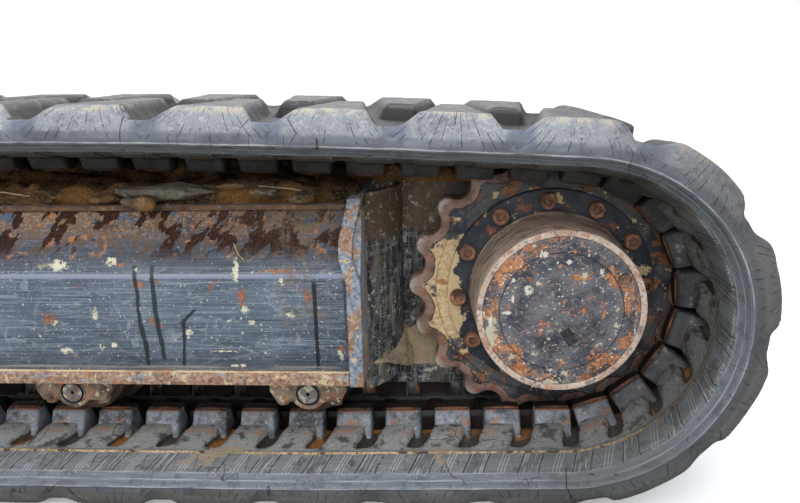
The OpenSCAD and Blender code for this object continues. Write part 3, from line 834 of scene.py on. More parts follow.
@dataclass(frozen=True)
class RustedEdge:
    """Flame-cut plate edges: orange and brown rust with blue-grey paint left on them."""
    name: str
    paint: Colour = (112, 122, 140)
    left: float = 0.5
    along: Sequence[float] = (48, 48, 19.2)
    ledge: float = -1.0

    def make(self) -> Material:
        """Builds the material.

        Returns:
            The material.
        """
        s = Shade(self.name)
        _, _, z = s.split(s.place)
        fine = s.grain(170, 5, 0.7)
        mottle = s.grain(self.along, 5, 0.65)
        orange = s.grain(60, 4, 0.6)
        rust = s.ramp(fine, (0.34, (104, 76, 62)), (0.5, (160, 130, 112)), (0.64, (196, 170, 152)))
        coat = s.mix(fine.rise(0.35, 0.65), self.paint, (166, 172, 182))
        colour = s.paint(rust, [
            (orange.rise(0.55, 0.61) * 0.6, (178, 122, 84)),
            (mottle.rise(0.62 - self.left * 0.2, 0.635 - self.left * 0.2), coat),
            (s.grain(70, 4, 0.6).rise(0.6, 0.63), (206, 186, 150)),
            (s.grain(48, 5, 0.7).rise(0.6, 0.64) * 0.8, (74, 54, 44)),
            (fine.rise(0.38, 0.28) * 0.7, (56, 44, 38)),
            (z.rise(self.ledge * MM - 0.001, self.ledge * MM - 0.0004) * float(self.ledge > 0),
             s.mix(mottle.rise(0.42, 0.5), (190, 150, 110), (232, 206, 162))),
        ])
        s.emboss(fine, 0.0014, 0.8)
        s.emboss(mottle, 0.001, 0.5)
        return s.done(colour, 0.55 + fine * 0.25)


@dataclass(frozen=True)
class SprocketSteel:
    """Worn teeth with a polished brown band, and a web with cream and dark paint left."""
    teeth: int
    phase: float
    gap_at: float
    gap_r: float = 22.5
    tooth_at: float = 206.0

    def inset(self, side: Signal, up: Signal, reach: Signal) -> Signal:
        """Gives the distance in from the teeth's outline.

        Args:
            side: place from the axis along X.
            up: place from the axis along Z.
            reach: distance from the axis.
        Returns:
            The distance, which is 0 out on the teeth.
        """
        step = tau / self.teeth
        turn = up.math("ARCTAN2", side) - radians(self.phase) + step / 2
        folded = abs(turn.cycle(step) - step / 2)
        across = reach * folded.math("COSINE") - self.gap_at * MM * cos(step / 2)
        over = reach * folded.math("SINE") - self.gap_at * MM * sin(step / 2)
        inside = (across * across + over * over) ** 0.5 - self.gap_r * MM
        return inside * reach.rise(self.tooth_at * MM + 0.002, self.tooth_at * MM)

    def make(self) -> Material:
        """Builds the material.

        Returns:
            The material.
        """
        s = Shade("sprocket_steel")
        side, up, reach = s.about(SHIFT.x, SPROCKET_Z)
        fine = s.grain(160, 5, 0.7)
        broad = s.grain(26, 4, 0.6)
        worn = s.mix(broad.rise(0.35, 0.62), (108, 84, 75), (166, 136, 123))
        worn = s.paint(worn, [
            (fine.rise(0.54, 0.68) * 0.6, (170, 150, 140)),
            (fine.rise(0.42, 0.32) * 0.7, (52, 38, 34)),
            (s.grain(50, 4, 0.6).rise(0.58, 0.63) * 0.8, (166, 104, 66)),
            (reach.rise(0.214, 0.228) * fine.rise(0.34, 0.5) * 0.8, (202, 192, 186))])
        dark = s.mix(broad.rise(0.4, 0.6), (54, 56, 66), (98, 96, 98))
        torn = s.grain(24, 6, 0.72)
        reached = up.within(-0.075, 0.08, 0.02)
        corner = (side * -0.97 + up * -0.12).rise(0.10, 0.15) * (0.2 + reached * 0.8)
        cream = (corner * 0.24 + torn).rise(0.635, 0.645)
        web = s.paint(dark, [
            (s.grain(62, 6, 0.75).rise(0.61, 0.622), (212, 186, 142)),
            (s.grain(30, 5, 0.65).rise(0.56, 0.59) * 0.85, s.mix(
                fine.rise(0.35, 0.65), (104, 64, 40), (178, 116, 70))),
            (cream, s.mix(fine.rise(0.3, 0.7), (186, 156, 112), (236, 212, 172))),
            (cream * s.grain(60, 4).rise(0.6, 0.64) * 0.8, (176, 112, 66)),
            (fine.rise(0.66, 0.75) * 0.5, (170, 164, 150))])
        ragged = self.inset(side, up, reach) + (s.grain(90, 4) - 0.5) * 0.01
        colour = s.mix(ragged.rise(0.0145, 0.0165), worn, web)
        colour = s.paint(colour, [(abs(ragged - 0.0155).rise(0.0016, 0.0004) * 0.8, (34, 26, 24))])
        s.emboss(fine, 0.001, 0.7)
        s.emboss(ragged.rise(0.0145, 0.0165), 0.0006, 0.5)
        return s.done(colour, 0.45 + fine * 0.3, ragged.rise(0.0165, 0.0145) * 0.25)


@dataclass(frozen=True)
class HubPaint:
    """Hub drum and lid: brushed brown flank, pinkish worn rim, dark lid with rust patches."""
    rim: float = 115.4
    tag_x: float = 13.0
    tag_z: float = -38.0
    tag_turn: float = 58.0
    rust_spots: Marks = (
        (-45, 97, 24, 12), (-74, 75, 24, 14), (-92, 52, 9, 14), (24, 55, 18, 5), (71, 52, 11, 13),
        (84, 42, 15, 6), (70, -74, 26, 11), (93, -48, 9, 12), (-72, -58, 17, 9), (-58, -90, 13, 14),
        (-30, -24, 4, 12), (95, 8, 7, 11), (30, 5, 5, 5), (62, 0, 3, 8), (-98, 8, 7, 20),
        (-94, -40, 9, 13), (-20, -105, 12, 7), (45, -104, 16, 5))
    chip_spots: Marks = (
        (-73, 50, 4, 4), (-50, 36, 7, 8), (-80, 1, 8, 3), (55, 62, 4, 6),
        (95, 27, 5, 4), (-13, -92, 9, 3), (-18, -40, 3, 3), (-72, 22, 2.5, 6),
        (-30, 90, 8, 5), (60, -30, 3, 3), (8, 78, 3, 5), (-104, -14, 5, 9))

    def make(self) -> Material:
        """Builds the material.

        Returns:
            The material.
        """
        s = Shade("hub_paint")
        _, y, _ = s.split(s.place)
        side, up, reach = s.about(SHIFT.x, SPROCKET_Z)
        fine = s.grain(200, 5, 0.7)
        broad = s.grain(22, 4, 0.6)
        torn = (s.grain(130, 6, 0.8) - 0.46) * 8.0
        rusts = s.spots(self.rust_spots, side, up, torn)
        chips = s.spots(self.chip_spots, side, up, torn * 1.3)
        scores = [s.grain((26, 1, 260), 4, 0.72, warp, (0, turn, 0))
                  for turn, warp in ((38, 0.5), (-25, 1.2), (80, 0.8), (8, 0.3))]
        hairs = s.scratches(((16, 90, 35, 0.45), (14, 80, -28, 0.45), (20, 90, 75, 0.4),
                             (18, 84, 5, 0.4), (24, 96, -62, 0.4)))
        swing = radians(self.tag_turn)
        tag_x, tag_z = side - self.tag_x * MM, up - self.tag_z * MM
        tag = abs(tag_x * cos(swing) - tag_z * sin(swing)) * (1 / 0.0165)
        tag = tag.most(abs(tag_x * sin(swing) + tag_z * cos(swing)) * (1 / 0.0098))
        ragged = s.grain(34, 6, 0.68)
        outside = reach.rise(0.084, 0.102)
        veins = s.grain((48, 48, 76.8), 6, 0.8, 0, (0, 35, 0)).rise(0.6, 0.612)
        orange = (ragged + outside * 0.08).rise(0.622, 0.632)
        creamy = (s.grain(44, 6, 0.66) + outside * (side * -0.5 + up * -0.25)).rise(0.63, 0.64)
        lid = s.paint(s.mix(broad.rise(0.35, 0.65), (54, 57, 69), (108, 109, 116)), [
            (scores[0].rise(0.56, 0.68) * 0.6, (136, 136, 140)),
            (scores[1].rise(0.56, 0.66) * 0.7, (166, 134, 120)),
            (scores[2].rise(0.60, 0.70) * 0.6, (112, 112, 118)),
            (scores[3].rise(0.60, 0.70) * 0.5, (176, 132, 108)),
            (hairs * 0.26, (158, 154, 154)),
            (orange, s.mix(fine.rise(0.35, 0.65), (134, 84, 58), (202, 144, 106))),
            (veins, s.mix(fine.rise(0.35, 0.65), (140, 88, 62), (206, 146, 112))),
            (rusts, s.mix(fine.rise(0.35, 0.65), (146, 88, 56), (212, 148, 104))),
            ((rusts + orange).least(1.0) * s.grain(70, 5, 0.7).rise(0.56, 0.6) * 0.8,
             (84, 78, 80)),
            (outside * s.grain(90, 5, 0.7).rise(0.56, 0.6) * 0.8, (168, 144, 128)),
            (creamy, (200, 190, 166)),
            (s.grain(210, 3, 0.5).rise(0.645, 0.665), (214, 210, 200)),
            # painted shade along the step round the lid's raised middle
            (abs(reach - 0.0915).rise(0.0012, 0.0005) * 0.8, (34, 32, 36)),
            (chips, (220, 214, 200)),
            (tag.rise(1.0, 0.96), s.mix(fine.rise(0.3, 0.7), (34, 34, 40), (70, 68, 72))),
            # painted highlight round the plate's edges
            (tag.within(0.86, 0.96, 0.03) * fine.rise(0.4, 0.55), (140, 134, 130)),
        ])
        around = s.grain((40, 520, 40), 4, 0.65)
        depth = y.rise(-0.216, -0.118)
        drum = s.paint(s.mix(around.rise(0.36, 0.6), (106, 88, 76), (220, 196, 176)), [
            (depth * around.rise(0.58, 0.4) * 0.65, (44, 40, 40)),
            (fine.rise(0.56, 0.68) * 0.55, (204, 188, 172)),
            (fine.rise(0.42, 0.32) * 0.55, (58, 46, 42)),
            (s.grain(34, 4, 0.6).rise(0.58, 0.64) * 0.6, (152, 104, 74))])
        ring = s.paint(s.mix(broad.rise(0.35, 0.6), (190, 162, 144), (222, 202, 187)), [
            (fine.rise(0.54, 0.66) * 0.6, (218, 204, 194)),
            (fine.rise(0.47, 0.37) * 0.75, (96, 76, 70)),
            (s.grain(44, 5, 0.65).rise(0.56, 0.6) * 0.7, (170, 120, 92)),
            (s.grain(60, 4).rise(0.6, 0.63) * 0.7, (112, 104, 108))])
        flange = s.paint(s.mix(broad.rise(0.35, 0.65), (40, 44, 54), (66, 69, 76)), [
            (s.grain(36, 5, 0.65).rise(0.585, 0.62) * 0.9, s.mix(
                fine.rise(0.35, 0.65), (96, 60, 40), (160, 104, 66))),
            (s.grain(31, 6, 0.72).rise(0.615, 0.625), (196, 174, 130)),
            ((side * -1.0 - up * 0.1 + (ragged - 0.5) * 0.07).rise(0.146, 0.148)
             * up.within(-0.07, 0.095, 0.008),
             s.mix(fine, (186, 156, 112), (236, 212, 172))),
            (fine.rise(0.6, 0.7) * 0.5, (150, 146, 140))])
        front = y.rise(-0.2215, -0.2235)
        colour = s.mix(front, drum, ring)
        colour = s.mix(reach.rise(self.rim * MM + 0.0008, self.rim * MM), colour, lid)
        colour = s.mix((y.rise(-0.146, -0.139) * reach.rise(0.129, 0.133)), colour, flange)
        s.emboss(fine, 0.0008, 0.6)
        s.emboss(around * (1 - front), 0.0012, 0.6)
        s.emboss(1 - chips * front, 0.0007, 0.5)
        return s.done(colour, 0.40 + fine * 0.3)


@dataclass(frozen=True)
class Soil:
    """Packed soil with leaf litter."""
    name: str = "soil"
    dark: Colour = (54, 40, 28)
    light: Colour = (128, 96, 58)
    leaf: Colour = (176, 116, 48)

    def make(self) -> Material:
        """Builds the material.

        Returns:
            The material.
        """
        s = Shade(self.name)
        broad = s.grain(20, 4, 0.65)
        fine = s.grain(210, 5, 0.75)
        bits = s.cells((44, 60, 90), turn=(20, 30, 10))
        colour = s.paint(s.mix(broad.rise(0.35, 0.65), self.dark, self.light), [
            (s.grain(9, 3).rise(0.5, 0.58) * 0.55, s.mix(0.6, self.light, self.leaf)),
            (fine.rise(0.5, 0.66) * 0.7, s.mix(0.45, self.light, (187.5, 178.9, 165.7))),
            (fine.rise(0.44, 0.32) * 0.8, s.mix(0.6, self.dark, (25.5, 22, 17.9))),
            (bits.rise(0.26, 0.14) * broad.rise(0.48, 0.56) * 0.8, self.leaf)])
        s.emboss(fine, 0.004, 0.9)
        s.emboss(bits, 0.003, 0.6)
        return s.done(colour, 0.85, specular=0.2)


@dataclass(frozen=True)
class PinSteel:
    """Ends of the roller pins: scuffed steel and paint, with painted shade in the ring groove and the
    centre hole.
    """
    first: float
    gap: float
    axis_z: float

    def make(self) -> Material:
        """Builds the material.

        Returns:
            The material.
        """
        s = Shade("shaft_steel")
        x, _, z = s.split(s.place)
        half = self.gap / 2 * MM
        side = (x - self.first * MM + half).cycle(self.gap * MM) - half
        up = z - self.axis_z * MM
        reach = (side * side + up * up) ** 0.5
        fine = s.grain(200, 5, 0.7)
        patch = s.grain(90, 5, 0.65)
        colour = s.paint(s.mix(fine.rise(0.3, 0.7), (84, 84, 90), (146, 144, 146)), [
            (patch.rise(0.54, 0.58), (190, 178, 152)),
            (patch.rise(0.46, 0.42) * 0.8, (128, 92, 72)),
            # painted shade in the ring groove and in the centre hole
            (reach.within(0.0156, 0.0186, 0.0003), (24, 22, 22)),
            (reach.rise(0.0034, 0.0026), (28, 24, 22)),
        ])
        s.emboss(fine, 0.0008, 0.7)
        return s.done(colour, 0.42 + fine * 0.25, 0.2)


@dataclass(frozen=True)
class Plain:
    """A small even finish with grain, for straw, axles and screws."""
    name: str
    dark: Colour
    light: Colour
    scale: float = 60.0
    rough: float = 0.5
    metal: float = 0.0
    depth: float = 0.0008

    def make(self) -> Material:
        """Builds the material.

        Returns:
            The material.
        """
        s = Shade(self.name)
        grain = s.grain(self.scale, 4, 0.65)
        s.emboss(grain, self.depth, 0.6)
        return s.done(s.mix(grain.rise(0.3, 0.7), self.dark, self.light),
                      self.rough + grain * 0.2, self.metal)


class Bench:
    """Modelling operators; each call starts with everything else deselected."""

    @staticmethod
    def only(*objects: Piece) -> None:
        """Selects only these objects; the first is active.

        Args:
            objects: what is selected.
        """
        active = bpy.context.view_layer.objects.active
        if active is not None and active.mode != "OBJECT":
            bpy.ops.object.mode_set(mode="OBJECT")
        bpy.ops.object.select_all(action="DESELECT")
        for one in objects:
            one.select_set(True)
        bpy.context.view_layer.objects.active = objects[0] if objects else None

    @classmethod
    @contextmanager
    def editing(cls, piece: Piece) -> Iterator[None]:
        """Holds a piece in edit mode with all of it selected.

        Args:
            piece: the piece.
        Returns:
            What a with statement holds.
        """
        cls.only(piece)
        bpy.ops.object.mode_set(mode="EDIT")
        bpy.ops.mesh.select_all(action="SELECT")
        yield
        bpy.ops.object.mode_set(mode="OBJECT")

    @classmethod
    def add(cls, kind: str, name: str, **settings: object) -> Piece:
        """Adds a primitive and settles its place into its mesh.

        Args:
            kind: the primitive.
            name: the new piece's name.
            settings: the primitive's settings.
        Returns:
            The piece.
        """
        bpy.ops.object.select_all(action="DESELECT")
        getattr(bpy.ops.mesh, f"primitive_{kind}_add")(**settings)
        made = bpy.context.view_layer.objects.active
        made.name = made.data.name = name
        bpy.ops.object.transform_apply(location=True, rotation=True, scale=True)
        return made

    @classmethod
    def grid(cls, name: str, columns: int, rows: int) -> Piece:
        """Adds a grid of side 1 about the origin."""
        return cls.add("grid", name, x_subdivisions=columns, y_subdivisions=rows, size=1)

    @classmethod
    def block(cls, name: str, low: Sequence[float], high: Sequence[float]) -> Piece:
        """Adds a cube primitive between two corners, in mm."""
        return cls.add("cube", name, size=1, scale=[(b - a) * MM for a, b in zip(low, high)],
                       location=[(a + b) / 2 * MM for a, b in zip(low, high)])

    @classmethod
    def rod(cls, name: str, radius: float, start: Sequence[float], end: Sequence[float],
            sides: int = 24) -> Piece:
        """Adds a cylinder primitive.

        Args:
            name: the piece's name.
            radius: its radius in mm.
            start: the middle of one end, in mm.
            end: the middle of the other.
            sides: how many sides it has.
        Returns:
            The piece.
        """
        first, last = Vector(start), Vector(end)
        way = last - first
        return cls.add("cylinder", name, vertices=sides, radius=radius * MM, depth=way.length * MM,
                       location=(first + last) / 2 * MM,
                       rotation=way.to_track_quat("Z", "Y").to_euler())

    @classmethod
    def pick(cls, piece: Piece, test: Callable[[Vector, Vector], bool]) -> None:
        """Enters edit mode with some faces selected.

        Args:
            piece: the piece.
            test: tells from a face's middle and normal whether it is picked.
        """
        cls.only(piece)
        for group in (piece.data.vertices, piece.data.edges, piece.data.polygons):
            for item in group:
                item.select = False
        for face in piece.data.polygons:
            face.select = test(face.center, face.normal)
        bpy.ops.object.mode_set(mode="EDIT")
        bpy.ops.mesh.select_mode(type="FACE")

    @staticmethod
    def close() -> None:
        """Leaves edit mode."""
        bpy.ops.object.mode_set(mode="OBJECT")

    @classmethod
    def apply(cls, piece: Piece, kind: str, **settings: object) -> None:
        """Adds a modifier, sets it and applies it.

        Args:
            piece: the piece.
            kind: the modifier's type.
            settings: its settings.
        """
        cls.only(piece)
        made = piece.modifiers.new(kind.lower(), kind)
        for key, value in settings.items():
            setattr(made, key, value)
        bpy.ops.object.modifier_apply(modifier=made.name)

    @classmethod
    def bevel(cls, piece: Piece, width: float, segments: int = 2, angle: float = 30.0) -> None:
        """Rounds the edges that are sharper than an angle."""
        cls.apply(piece, "BEVEL", width=width * MM, segments=segments, limit_method="ANGLE",
                  angle_limit=radians(angle), use_clamp_overlap=True)

    @classmethod
    def shade(cls, piece: Piece, angle: float = 40.0) -> Piece:
        """Shades smooth below an angle and gives the piece back.

        Args:
            piece: the piece.
            angle: edges sharper than this stay sharp.
        Returns:
            The same piece.
        """
        cls.only(piece)
        bpy.ops.object.shade_smooth_by_angle(angle=radians(angle))
        return piece

    @classmethod
    def join(cls, pieces: Sequence[Piece], name: str) -> Piece:
        """Joins pieces into the first.

        Args:
            pieces: the pieces.
            name: the joined piece's name.
        Returns:
            The joined piece.
        """
        cls.only(*pieces)
        if len(pieces) > 1:
            bpy.ops.object.join()
        whole = pieces[0]
        whole.name = whole.data.name = name
        return whole

    @staticmethod
    def twin(model: Piece) -> Piece:
        """Copies a piece with its mesh.

        Args:
            model: the piece that is copied.
        Returns:
            The copy.
        """
        made = model.copy()
        made.data = model.data.copy()
        bpy.context.scene.collection.objects.link(made)
        return made

    @classmethod
    def copies(cls, model: Piece, places: Iterable[Matrix], name: str) -> Piece:
        """Copies a modelled piece to each place and joins the copies.

        Args:
            model: the piece, which is used up.
            places: the matrix of each place.
            name: the joined piece's name.
        Returns:
            The joined piece.
        """
        made = []
        for place in places:
            made.append(cls.twin(model))
            made[-1].data.transform(place)
            if place.to_3x3().determinant() < 0:
                made[-1].data.flip_normals()
        bpy.data.objects.remove(model)
        return cls.join(made, name)

    @classmethod
    def tidy(cls, piece: Piece, near: float = 0.00001) -> Piece:
        """Merges doubles, turns all faces outwards and gives the piece back.

        Args:
            piece: the piece.
            near: points nearer than this are merged, in metres.
        Returns:
            The same piece.
        """
        with cls.editing(piece):
            bpy.ops.mesh.remove_doubles(threshold=near)
            bpy.ops.mesh.normals_make_consistent(inside=False)
        return piece

    @classmethod
    def tube(cls, piece: Piece) -> Piece:
        """Makes a rolled grid one closed, smooth skin and gives it back.

        Args:
            piece: the rolled grid.
        Returns:
            The same piece.
        """
        with cls.editing(cls.tidy(piece, 0.00002)):
            bpy.ops.mesh.fill_holes(sides=0)
            bpy.ops.mesh.normals_make_consistent(inside=False)
        return cls.shade(piece, 60)

    @classmethod
    def lathe(cls, name: str, outline: Sequence[tuple[float, float]], x: float, z: float,
              steps: int = 96) -> Piece:
        """Spins an outline about an axis along Y.

        Args:
            name: the piece's name.
            outline: its points' radius and Y, in mm.
            x: the axis's place.
            z: its height.
            steps: how many steps go round.
        Returns:
            The piece.
        """
        shape = bpy.data.meshes.new(name)
        points = [row(x + r, y, z) for r, y in outline]
        shape.from_pydata(points, [(i, i + 1) for i in range(len(points) - 1)], [])
        piece = bpy.data.objects.new(name, shape)
        bpy.context.scene.collection.objects.link(piece)
        with cls.editing(piece):
            bpy.ops.mesh.spin(steps=steps, angle=tau, center=row(x, 0, z), axis=(0, 1, 0))
        return cls.tidy(piece)

    @classmethod
    def softened(cls, node: str, name: str, width: float, angle: float = 38.0) -> Piece:
        """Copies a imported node, merges it, rounds its edges and marks the rounding.

        Args:
            node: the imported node.
            name: the new piece's name.
            width: width of the rounding in mm.
            angle: edges sharper than this are rounded.
        Returns:
            The new piece, with the number "rim" 1 on its rounded edges.
        """
        piece = cls.twin(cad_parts[node])
        piece.parent = None
        for key in list(piece.keys()):
            del piece[key]
        piece.name = piece.data.name = name
        piece.data.materials.clear()
        cls.only(piece)
        bpy.ops.mesh.customdata_custom_splitnormals_clear()
        with cls.editing(cls.tidy(piece)):
            bpy.ops.mesh.dissolve_limited(angle_limit=radians(0.6))
        plain = {tuple(round(v, 3) for v in f.normal) for f in piece.data.polygons if f.area > 4e-6}
        cls.bevel(piece, width, 2, angle)
        mark = piece.data.attributes.new("rim", "FLOAT", "CORNER")
        for face in piece.data.polygons:
            value = 0.0 if tuple(round(v, 3) for v in face.normal) in plain else 1.0
            for corner in face.loop_indices:
                mark.data[corner].value = value
        return cls.shade(piece, 32)


def settle(piece: Piece, slot: str, finish: Material, *nodes: str) -> Piece:
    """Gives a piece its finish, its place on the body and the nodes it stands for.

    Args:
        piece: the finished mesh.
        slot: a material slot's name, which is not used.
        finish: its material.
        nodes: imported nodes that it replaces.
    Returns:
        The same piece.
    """
    piece.data.materials.clear()
    piece.data.materials.append(finish)
    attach(piece, "root")
    if nodes:
        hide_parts(*nodes)
    log.info("%s: %d faces", piece.name, len(piece.data.polygons))
    return piece


def recoat(node: str, slot: str, finish: Material, width: float, name: str = "",
           angle: float = 38.0) -> None:
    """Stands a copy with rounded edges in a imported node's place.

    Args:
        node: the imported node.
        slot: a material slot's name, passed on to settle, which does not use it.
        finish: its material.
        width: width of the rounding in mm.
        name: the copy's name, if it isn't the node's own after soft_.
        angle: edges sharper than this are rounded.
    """
    settle(Bench.softened(node, name or "soft_" + node, width, angle), slot, finish, node)


class Run(NamedTuple):
    """A stretch of the line: straight from its start, or an arc about its middle."""
    arc: bool
    x: float
    z: float
    angle: float
    radius: float
    length: float


@dataclass
class PitchLine:
    """Closed line that the track follows: bottom, rise, sprocket, arch, idler and fall."""
    pitch: float = 81.0
    links: int = 74
    teeth: int = 19
    tooth_phase: float = 122.1
    # the gap that holds the first bar, counted back from that tooth
    first_gap: int = 7
    tread: float = 42.0
    idler_z: float = 285.0
    idler_r: float = 235.0
    arch_r: float = 16500.0
    first: float = -384.0
    last: float = -1888.0
    runs: list[Run] = field(init=False)
    start: float = field(init=False)
    axle: float = field(init=False)

    def __post_init__(self) -> None:
        """Solves the distance between the axles for the number of links."""
        self.sprocket_r = self.pitch * self.teeth / tau
        low, high = 1800.0, 2800.0
        for _ in range(50):
            self.axle = (low + high) / 2
            if sum(run.length for run in self._runs()) < self.pitch * self.links:
                low = self.axle
            else:
                high = self.axle
        self.runs = self._runs()
        step = 360 / self.teeth
        bar = self.tooth_phase + (0.5 - self.first_gap) * step
        flat, rise = self.runs[:2]
        self.start = (flat.length + rise.length + radians(bar + 90 - rise.angle) * self.sprocket_r)

    def _tangent(self, reach: float, drop: float, radius: float) -> tuple[float, float]:
        """Solves a straight run that touches a wheel.

        Args:
            reach: the wheel's distance ahead.
            drop: its height above the run's start.
            radius: its radius.
        Returns:
            The run's rise in degrees and its length.
        """
        way = hypot(reach, drop)
        angle = degrees(atan2(drop, reach) - asin(radius / way))
        return angle, sqrt(way * way - radius * radius)

    def _runs(self) -> list[Run]:
        """Gives the runs in order, from the start of the bottom one.

        Returns:
            The runs, with angles in degrees.
        """
        rise, up = self._tangent(-self.first, SPROCKET_Z - self.tread, self.sprocket_r)
        fall, down = self._tangent(self.axle + self.last, self.idler_z - self.tread, self.idler_r)
        drop = SPROCKET_Z - self.idler_z
        way = hypot(self.axle, drop)
        tilt = degrees(atan2(drop, self.axle))
        first, second = self.arch_r - self.sprocket_r, self.arch_r - self.idler_r
        along = (first ** 2 - second ** 2 + way ** 2) / (2 * way)
        leave = tilt + degrees(acos(along / first))
        meet = 180 + tilt - degrees(acos((way - along) / second))
        arch_x = -first * cos(radians(leave))
        arch_z = SPROCKET_Z - first * sin(radians(leave))
        turn = radians(fall)
        return [
            Run(False, self.last, self.tread, 0.0, 0.0, self.first - self.last),
            Run(False, self.first, self.tread, rise, 0.0, up),
            Run(True, 0.0, SPROCKET_Z, rise - 90, self.sprocket_r,
                radians(leave + 90 - rise) * self.sprocket_r),
            Run(True, arch_x, arch_z, leave, self.arch_r,
                radians(meet - leave) * self.arch_r),
            Run(True, -self.axle, self.idler_z, meet, self.idler_r,
                radians(270 - fall - meet) * self.idler_r),
            Run(False, -self.axle - self.idler_r * sin(turn),
                self.idler_z - self.idler_r * cos(turn), -fall, 0.0, down)]

    def at(self, distance: float) -> tuple[float, float, float]:
        """Finds a place on the line.

        Args:
            distance: how far it is from the first bar.
        Returns:
            X, Z and the heading in radians.
        """
        left = (distance + self.start) % (self.pitch * self.links)
        for run in self.runs:
            if left <= run.length:
                break
            left -= run.length
        turn = radians(run.angle)
        if not run.arc:
            return run.x + left * cos(turn), run.z + left * sin(turn), turn
        turn += left / run.radius
        return (run.x + run.radius * cos(turn), run.z + run.radius * sin(turn), turn + pi / 2)

    def point(self, distance: float, y: float, lift: float) -> Vector:
        """Gives the place of a point on the track.

        Args:
            distance: its distance along the line from the first bar.
            y: its place across.
            lift: its height above the tread's face.
        Returns:
            The place in the row frame.
        """
        x, z, turn = self.at(distance)
        up = lift - self.tread
        return row(x - sin(turn) * up, y, z + cos(turn) * up)

    def carry(self, distance: float) -> Matrix:
        """Gives the matrix that carries a rigid piece, modelled lying at the first bar.

        Args:
            distance: the distance from the first bar.
        Returns:
            The matrix.
        """
        x, z, turn = self.at(distance)
        return (Matrix.Translation(row(x, 0, z)) @ Matrix.Rotation(-turn, 4, "Y")
                @ Matrix.Translation((0, 0, -self.tread * MM)))

    def chart(self, piece: Piece, offset: float = 0.0) -> None:
        """Stores where each corner lies along, across and above the run, while it lies flat.

        Args:
            piece: the piece.
            offset: the distance along the line where it goes, in mm.
        """
        run = piece.data.uv_layers.get("Run") or piece.data.uv_layers.new(name="Run")
        rise = piece.data.uv_layers.get("Lift") or piece.data.uv_layers.new(name="Lift")
        for loop in piece.data.loops:
            x, y, z = piece.data.vertices[loop.vertex_index].co
            run.data[loop.index].uv = (x + offset * MM, y)
            rise.data[loop.index].uv = (z, 0.0)

    def carried(self, model: Piece, stops: Sequence[float], side: Side, name: str) -> Piece:
        """Copies a piece modelled flat to stops along the line, and joins the copies.

        Args:
            model: the piece.
            stops: where the copies go, by their distance from the first bar.
            side: the edge that they are on.
            name: the joined piece's name.
        Returns:
            The joined piece.
        """
        made = []
        for stop in stops:
            one = Bench.twin(model)
            if side is Side.INNER:
                one.data.transform(Matrix.Translation((0, WIDTH * MM, 0))
                                   @ Matrix.Diagonal((1, -1, 1, 1)))
                one.data.flip_normals()
            self.chart(one, stop)
            one.data.transform(self.carry(stop))
            made.append(one)
        return Bench.join(made, name)


